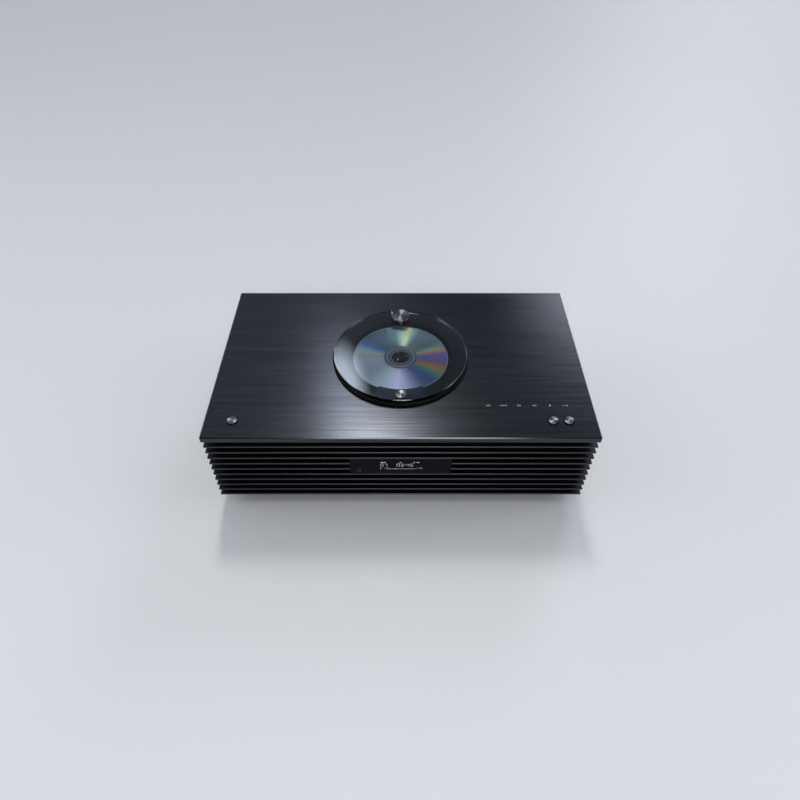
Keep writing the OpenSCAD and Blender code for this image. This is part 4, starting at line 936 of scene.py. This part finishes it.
@dataclass
class Sockets:
    """Small pieces in the rear sockets: contact springs, tongue, shutter, rims and the aerial's thread."""

    contact_count: int = 8
    contact_pitch: float = 1.02
    contact_size: tuple[float, float] = (0.45, 0.22)
    # Bent line of a contact spring: distance from the jack's face, and height from the top of its mouth.
    contact_line: tuple[tuple[float, float], ...] = ((-2.0, 0.0), (-2.6, -0.6), (-10.0, -3.6), (-12.0, -3.6))
    mouth_height: float = 8.2
    tongue: tuple[float, float, float] = (11.0, 8.6, 1.8)
    tongue_lift: float = 0.9
    usb_depth: float = 10.0
    # Contacts under the tongue: width and height, length and middle as shares of the tongue's length, and
    # their places across it.
    pad: tuple[float, float] = (1.1, 0.08)
    pad_length: float = 0.9
    pad_middle: float = 0.48
    pad_places: tuple[float, ...] = (-3.5, -1.0, 1.0, 3.5)
    # Door of the optical jack and its raised middle: side and height, and how deep the door sits.
    shutter: tuple[float, float] = (6.5, 0.6)
    shutter_middle: tuple[float, float] = (3.4, 0.9)
    shutter_inset: float = 1.2
    # Rims of the round jacks: inner radius, outer radius and height, and how far in their middles move.
    rim: tuple[float, float, float] = (1.95, 3.1, 0.15)
    rim_inset: float = 0.5
    # Thread of the aerial: pitch, height and root over the stem's radius, length left free, distance of the
    # first turn from the stem's foot, half width as a share of the pitch, and steps in a turn.
    thread_pitch: float = 0.8
    thread_height: float = 0.22
    thread_root: float = -0.05
    thread_end: float = 1.0
    thread_start: float = 0.9
    thread_flank: float = 0.42
    thread_steps: int = 28
    aerial_radius: float = 4.75
    aerial_length: float = 8.0

    def springs(self) -> None:
        """Contact springs of the network jack: a flat strip carried back along a bent line."""
        _, high = box_mm("network_jack")
        x, _, z = middle_mm("network_jack")
        line = np.array(self.contact_line)
        wide, thick = self.contact_size
        corners = bar(wide, thick, 0.0, -thick / 2)[::-1]
        found = []
        for place in range(self.contact_count):
            middle = x + (place - (self.contact_count - 1) / 2) * self.contact_pitch
            points = np.empty((len(line), len(corners), 3))
            points[..., 0] = middle + corners[None, :, 0]
            points[..., 1] = high[1] + line[:, None, 0]
            points[..., 2] = z + self.mouth_height / 2 + line[:, None, 1] + corners[None, :, 1]
            found.append(Surface(points))
        add_piece("network_contacts", found, Palette.contact)

    def usb(self) -> None:
        """Tongue of the port on the back wall of its mouth, and four contacts under it."""
        _, high = box_mm("usb_port")
        x, _, z = middle_mm("usb_port")
        wide, long, thick = self.tongue
        back, level = high[1] - self.usb_depth, z + self.tongue_lift
        tongue = Plane((x, back, level), *REAR).lay(bar(wide, thick), long)
        add_piece("usb_tongue", [tongue], Palette.nylon)
        under = Plane((x, back + self.pad_middle * long, level - thick / 2), (1, 0, 0), (0, -1, 0))
        pad, height = self.pad
        outlines = [bar(pad, self.pad_length * long, offset) for offset in self.pad_places]
        pads = [under.lay(outline, height) for outline in outlines]
        add_piece("usb_contacts", pads, Palette.contact)

    def optical(self) -> None:
        """Sprung shutter of the optical jack: a flat door with a raised middle, set into the mouth."""
        _, high = box_mm("optical_jack")
        x, _, z = middle_mm("optical_jack")
        plane = Plane((x, high[1] - self.shutter_inset, z), *REAR)
        door = [plane.lay(bar(side, side), height) for side, height in (self.shutter, self.shutter_middle)]
        add_piece("optical_shutter", door, Palette.nylon)

    def rims(self) -> None:
        """Plated rims round the plug holes of the round jacks."""
        low, high = box_mm("round_jacks")
        z = (low[2] + high[2]) / 2
        half = (high[2] - low[2]) / 2 + self.rim_inset
        planes = [Plane((x, high[1], z), *REAR) for x in (low[0] + half, high[0] - half)]
        rings = [plane.ring((0.0, 0.0), *self.rim) for plane in planes]
        add_piece("jack_rims", rings, Palette.steel)

    def thread(self) -> None:
        """Thread of the aerial's stem: a ridge of three corners carried along a helix."""
        _, high = box_mm("aerial_socket")
        x, _, z = middle_mm("aerial_socket")
        turns = (self.aerial_length - self.thread_end) / self.thread_pitch - 1
        angle = np.linspace(0, 2 * np.pi * turns, int(turns * self.thread_steps))[:, None]
        radius = self.aerial_radius + np.array([self.thread_root, self.thread_height, self.thread_root])[None]
        along = np.array([-self.thread_flank, 0.0, self.thread_flank])[None] * self.thread_pitch
        start = high[1] - self.aerial_length + self.thread_start
        points = np.stack(
            [
                x + radius * np.cos(angle),
                start + along + angle / (2 * np.pi) * self.thread_pitch,
                z + radius * np.sin(angle),
            ],
            -1,
        )
        add_piece("aerial_thread", [Surface(points)], Palette.steel)

    def build(self) -> None:
        """Makes the small pieces of each socket."""
        for make in (self.springs, self.usb, self.optical, self.rims, self.thread):
            make()


@dataclass
class Screws:
    """Cross-headed screws that stand for the plain ones of the construction."""

    # Radius and height of a head and radius of a shank.
    rear: tuple[float, float, float] = (2.85, 1.6, 1.5)
    foot: tuple[float, float, float] = (3.8, 2.2, 2.0)
    # Bevel at a shank's tip.
    point: float = 0.6
    # Half width and reach of the cross, and the slopes of its walls, as shares of the head's radius.
    arm: float = 0.17
    reach: float = 0.62
    slopes: tuple[float, float] = (0.05, 0.1)
    # Fall of the head towards its rim and depth of the cross, as shares of the head's height.
    fall: float = 0.45
    recess: float = 0.55
    rows: int = 26
    steps: int = 72

    def head(self, radius: float, height: float) -> np.ndarray:
        """A pan head with a cross recess, on a grid of radius and angle.

        The height falls off with the fourth power of the radius, less a cross that is deep where the smaller
        of x and y is under an arm's half width and the larger is under its reach.

        Args:
            radius: radius of the head.
            height: height of the head.

        Returns:
            Points from the rim's foot to the middle, rows x columns x 3, with the head facing +Z.
        """
        share = np.concatenate([[1.0], np.linspace(1.0, 0.0, self.rows)])[:, None]
        turn = np.linspace(0, 2 * np.pi, self.steps, endpoint=False)[None]
        x, y = share * np.cos(turn), share * np.sin(turn)
        near, far = np.minimum(abs(x), abs(y)), np.maximum(abs(x), abs(y))
        limits = ((self.arm, near), (self.reach, far))
        walls = [np.clip((end - at) / slope, 0, 1) for (end, at), slope in zip(limits, self.slopes)]
        top = height * (1 - self.fall * share**4) - self.recess * height * walls[0] * walls[1]
        top[0] = 0.0
        return np.stack([x * radius, y * radius, top], -1)

    def build(self) -> None:
        """Puts a head and a shank at each screw of the rear panel and of the feet."""
        self.group("rear_screws", self.rear, (0, 1, 0), Palette.dark_steel)
        self.group("foot_screws", self.foot, (0, 0, -1), Palette.steel)

    def group(
        self,
        node: str,
        sizes: tuple[float, float, float],
        axis: tuple[float, float, float],
        finish: Finish,
    ) -> None:
        """Makes the four screws of one node, found from its box.

        Args:
            node: construction node that they stand for.
            sizes: radius and height of a head and radius of a shank.
            axis: direction that the heads face.
            finish: their finish.
        """
        low, high = box_mm(node)
        out = np.array(axis, float)
        radius, height, shank = sizes
        side = np.array([1.0, 0.0, 0.0])
        up = np.cross(out, side)
        length = float(abs((high - low) @ out)) - height
        tip = np.where(out > 0, high, low)
        seat = tip @ abs(out) - height * (out @ abs(out))
        shape = self.head(radius, height)
        bevelled = [[shank, self.point - length], [shank - self.point, -length]]
        profile = np.array([[radius, 0.0], [shank, 0.0], *bevelled, [0.0, -length]])
        surfaces = []
        for right in (low[0] + radius, high[0] - radius):
            for along in ((low @ abs(up)) + radius, (high @ abs(up)) - radius):
                middle = right * side + along * abs(up) + seat * abs(out)
                placed = shape[..., :1] * side + shape[..., 1:2] * up + shape[..., 2:] * out
                surfaces.append(Surface(middle + placed, capped=False))
                surfaces.append(lathe(profile, middle, axis))
        add_piece(f"{node}_cross_headed", surfaces, finish, stands_for=(node,))


@dataclass(frozen=True)
class Patch:
    """A soft bright patch of the studio, by its compass direction from the object.

    The azimuth is in degrees from straight behind the object towards its right, the elevation in degrees
    above the floor, the width and height are the patch's half extents in degrees, and the lean tips its upper
    end to the right. The tint is the colour of its light.
    """

    azimuth: float
    elevation: float
    width: float
    height: float
    lean: float
    strength: float
    tint: str
    # Depth of its soft ball along the direction, and the ball's gradient value from which its light is full.
    depth: float = 1.2
    core: float = 0.7

    def sockets(self) -> dict[str, object]:
        """Place, turn and size of the patch's soft ball, for a mapping node."""
        turns = ((-self.azimuth, "Z"), (self.elevation, "X"), (self.lean, "Y"))
        pan, lift, lean = (Matrix.Rotation(math.radians(angle), 3, axis) for angle, axis in turns)
        wide, high = (math.sin(math.radians(half)) for half in (self.width, self.height))
        return {
            "Location": pan @ lift @ Vector((0, 1, 0)),
            "Rotation": (pan @ lift @ lean).to_euler(),
            "Scale": (wide, self.depth, high),
        }


@dataclass(frozen=True)
class Lamp:
    """A soft lamp: its place and aim in metres, its width and depth in metres and its power in watts."""

    name: str
    place: tuple[float, float, float]
    aim: tuple[float, float, float]
    size: tuple[float, float]
    power: float


@dataclass
class Studio:
    """Plain pale floor, soft light and the camera at the photograph's viewing angle."""

    floor_half: float = 30.0
    floor_cells: int = 8
    floor_colour: str = "#dfe0e3"
    lens: float = 27.16
    sensor: float = 36.0
    nearest: float = 0.01
    eye: tuple[float, float, float] = (-0.00076, -0.5582, 0.6528)
    tilt: float = 42.92
    # Light of the studio by the height of the direction, from straight down to straight up.
    sky: tuple[tuple[float, str], ...] = (
        (0.0, "#d0d2d6"),
        (0.5, "#d0d2d6"),
        (0.58, "#bdbfc4"),
        (0.68, "#7c7f88"),
        (0.76, "#5e6674"),
        (0.88, "#5e6674"),
        (0.95, "#a2a4a9"),
        (1.0, "#e4e5e8"),
    )
    patches: tuple[Patch, ...] = (
        Patch(-3.4, 58.4, 5.2, 11.0, 9.0, 31.0, "#fdfdfa"),
        Patch(-7.9, 46.3, 2.9, 6.0, 0.0, 6.6, "#d8e4f6"),
        Patch(26.0, 29.0, 14.0, 13.0, 20.0, 8.2, "#f0f4fc"),
        Patch(-34.0, 38.0, 30.0, 28.0, 0.0, 0.34, "#e9f1fa"),
    )
    lamps: tuple[Lamp, ...] = (
        Lamp("key_lamp", (0.06, -1.6, 1.35), (0.0, 0.0, 0.1), (0.8, 0.4), 8.2),
        Lamp("left_lamp", (-1.6, -0.1, 1.3), (0.0, 0.0, 0.1), (0.9, 0.9), 5.6),
        Lamp("right_lamp", (1.6, -0.1, 1.3), (0.0, 0.0, 0.1), (0.9, 0.9), 5.6),
    )

    def camera(self) -> None:
        """Sets up the camera: level across, tilted down, with no shift."""
        made = bpy.data.cameras.new("camera")
        made.lens = self.lens
        made.sensor_width = self.sensor
        made.clip_start = self.nearest
        holder = add_object("camera", made)
        holder.location = self.eye
        holder.rotation_euler = (math.radians(self.tilt), 0.0, 0.0)
        bpy.context.scene.camera = holder

    def floor(self) -> None:
        """Lays the floor: a flat grid of points at height 0."""
        across = self.floor_cells + 1
        span = np.linspace(-self.floor_half, self.floor_half, across)
        x, y = np.meshgrid(span, span)
        points = np.stack([x, y, np.zeros_like(x)], -1).reshape(-1, 3)
        row, column = np.meshgrid(*[np.arange(self.floor_cells)] * 2, indexing="ij")
        first = row * across + column
        quads = np.stack([first, first + 1, first + across + 1, first + across], -1).reshape(-1, 4)
        mesh = bpy.data.meshes.new("studio_floor")
        mesh.from_pydata(points, [], quads.tolist())
        # Matt painted board: pale grey, with only a soft reflection.
        paint = Grained("matt_painted_board", self.floor_colour, 0.5, 0.0, "#e3e4e6", 3.0, 0.004)
        mesh.materials.append(paint.material())
        add_object("studio_floor", mesh)

    def light(self) -> None:
        """Hangs the lamps and lights the world with a soft gradient and its bright patches."""
        for lamp in self.lamps:
            made = bpy.data.lights.new(lamp.name, "AREA")
            made.shape = "RECTANGLE"
            made.size, made.size_y = lamp.size
            made.energy = lamp.power
            holder = add_object(lamp.name, made)
            holder.location = lamp.place
            facing = Vector(lamp.aim) - Vector(lamp.place)
            holder.rotation_euler = facing.to_track_quat("-Z", "Y").to_euler()
        world = bpy.data.worlds.new("studio")
        bpy.context.scene.world = world
        world.use_nodes = True
        tree = world.node_tree
        way = add_node(tree, "TexCoord").outputs["Generated"]
        parts = add_node(tree, "SeparateXYZ", {"Vector": way})
        level = add_node(tree, "MapRange", {"Value": parts.outputs["Z"]}, {"From Min": -1.0})
        total = add_node(tree, "ValToRGB", {"Fac": level.outputs[0]})
        set_stops(total, self.sky)
        colour = total.outputs[0]
        for patch in self.patches:
            near = add_node(tree, "Mapping", {"Vector": way}, patch.sockets(), vector_type="TEXTURE")
            spot = add_node(tree, "TexGradient", {"Vector": near.outputs[0]}, gradient_type="SPHERICAL")
            limits = {"From Max": patch.core, "To Max": patch.strength}
            bright = add_node(
                tree, "MapRange", {"Value": spot.outputs["Fac"]}, limits, interpolation_type="SMOOTHSTEP"
            )
            sources, tint = {0: bright.outputs[0], 2: colour}, {1: linear(patch.tint)[:3]}
            colour = add_node(tree, "VectorMath", sources, tint, operation="MULTIPLY_ADD").outputs[0]
        # The patches light the object and are mirrored in it, and the camera sees the plain sky behind them.
        seen = add_node(tree, "LightPath").outputs["Is Camera Ray"]
        shown = add_node(tree, "Mix", {0: seen, 6: colour, 7: total.outputs[0]}, data_type="RGBA")
        tree.links.new(shown.outputs[2], tree.nodes["Background"].inputs["Color"])

    def build(self) -> None:
        """Sets the scene, with colours shown as they are written."""
        self.camera()
        self.floor()
        self.light()
        bpy.context.scene.view_settings.view_transform = "Standard"


def main() -> None:
    """Builds the studio and the console's pieces in order."""
    logging.basicConfig(level=logging.INFO, format="%(name)s: %(message)s")
    Studio().build()
    Construction().dress()
    LidGrip().build()
    TouchKeys().build()
    DisplayFace().build()
    Sockets().build()
    Screws().build()


if __name__ == "__main__":
    main()
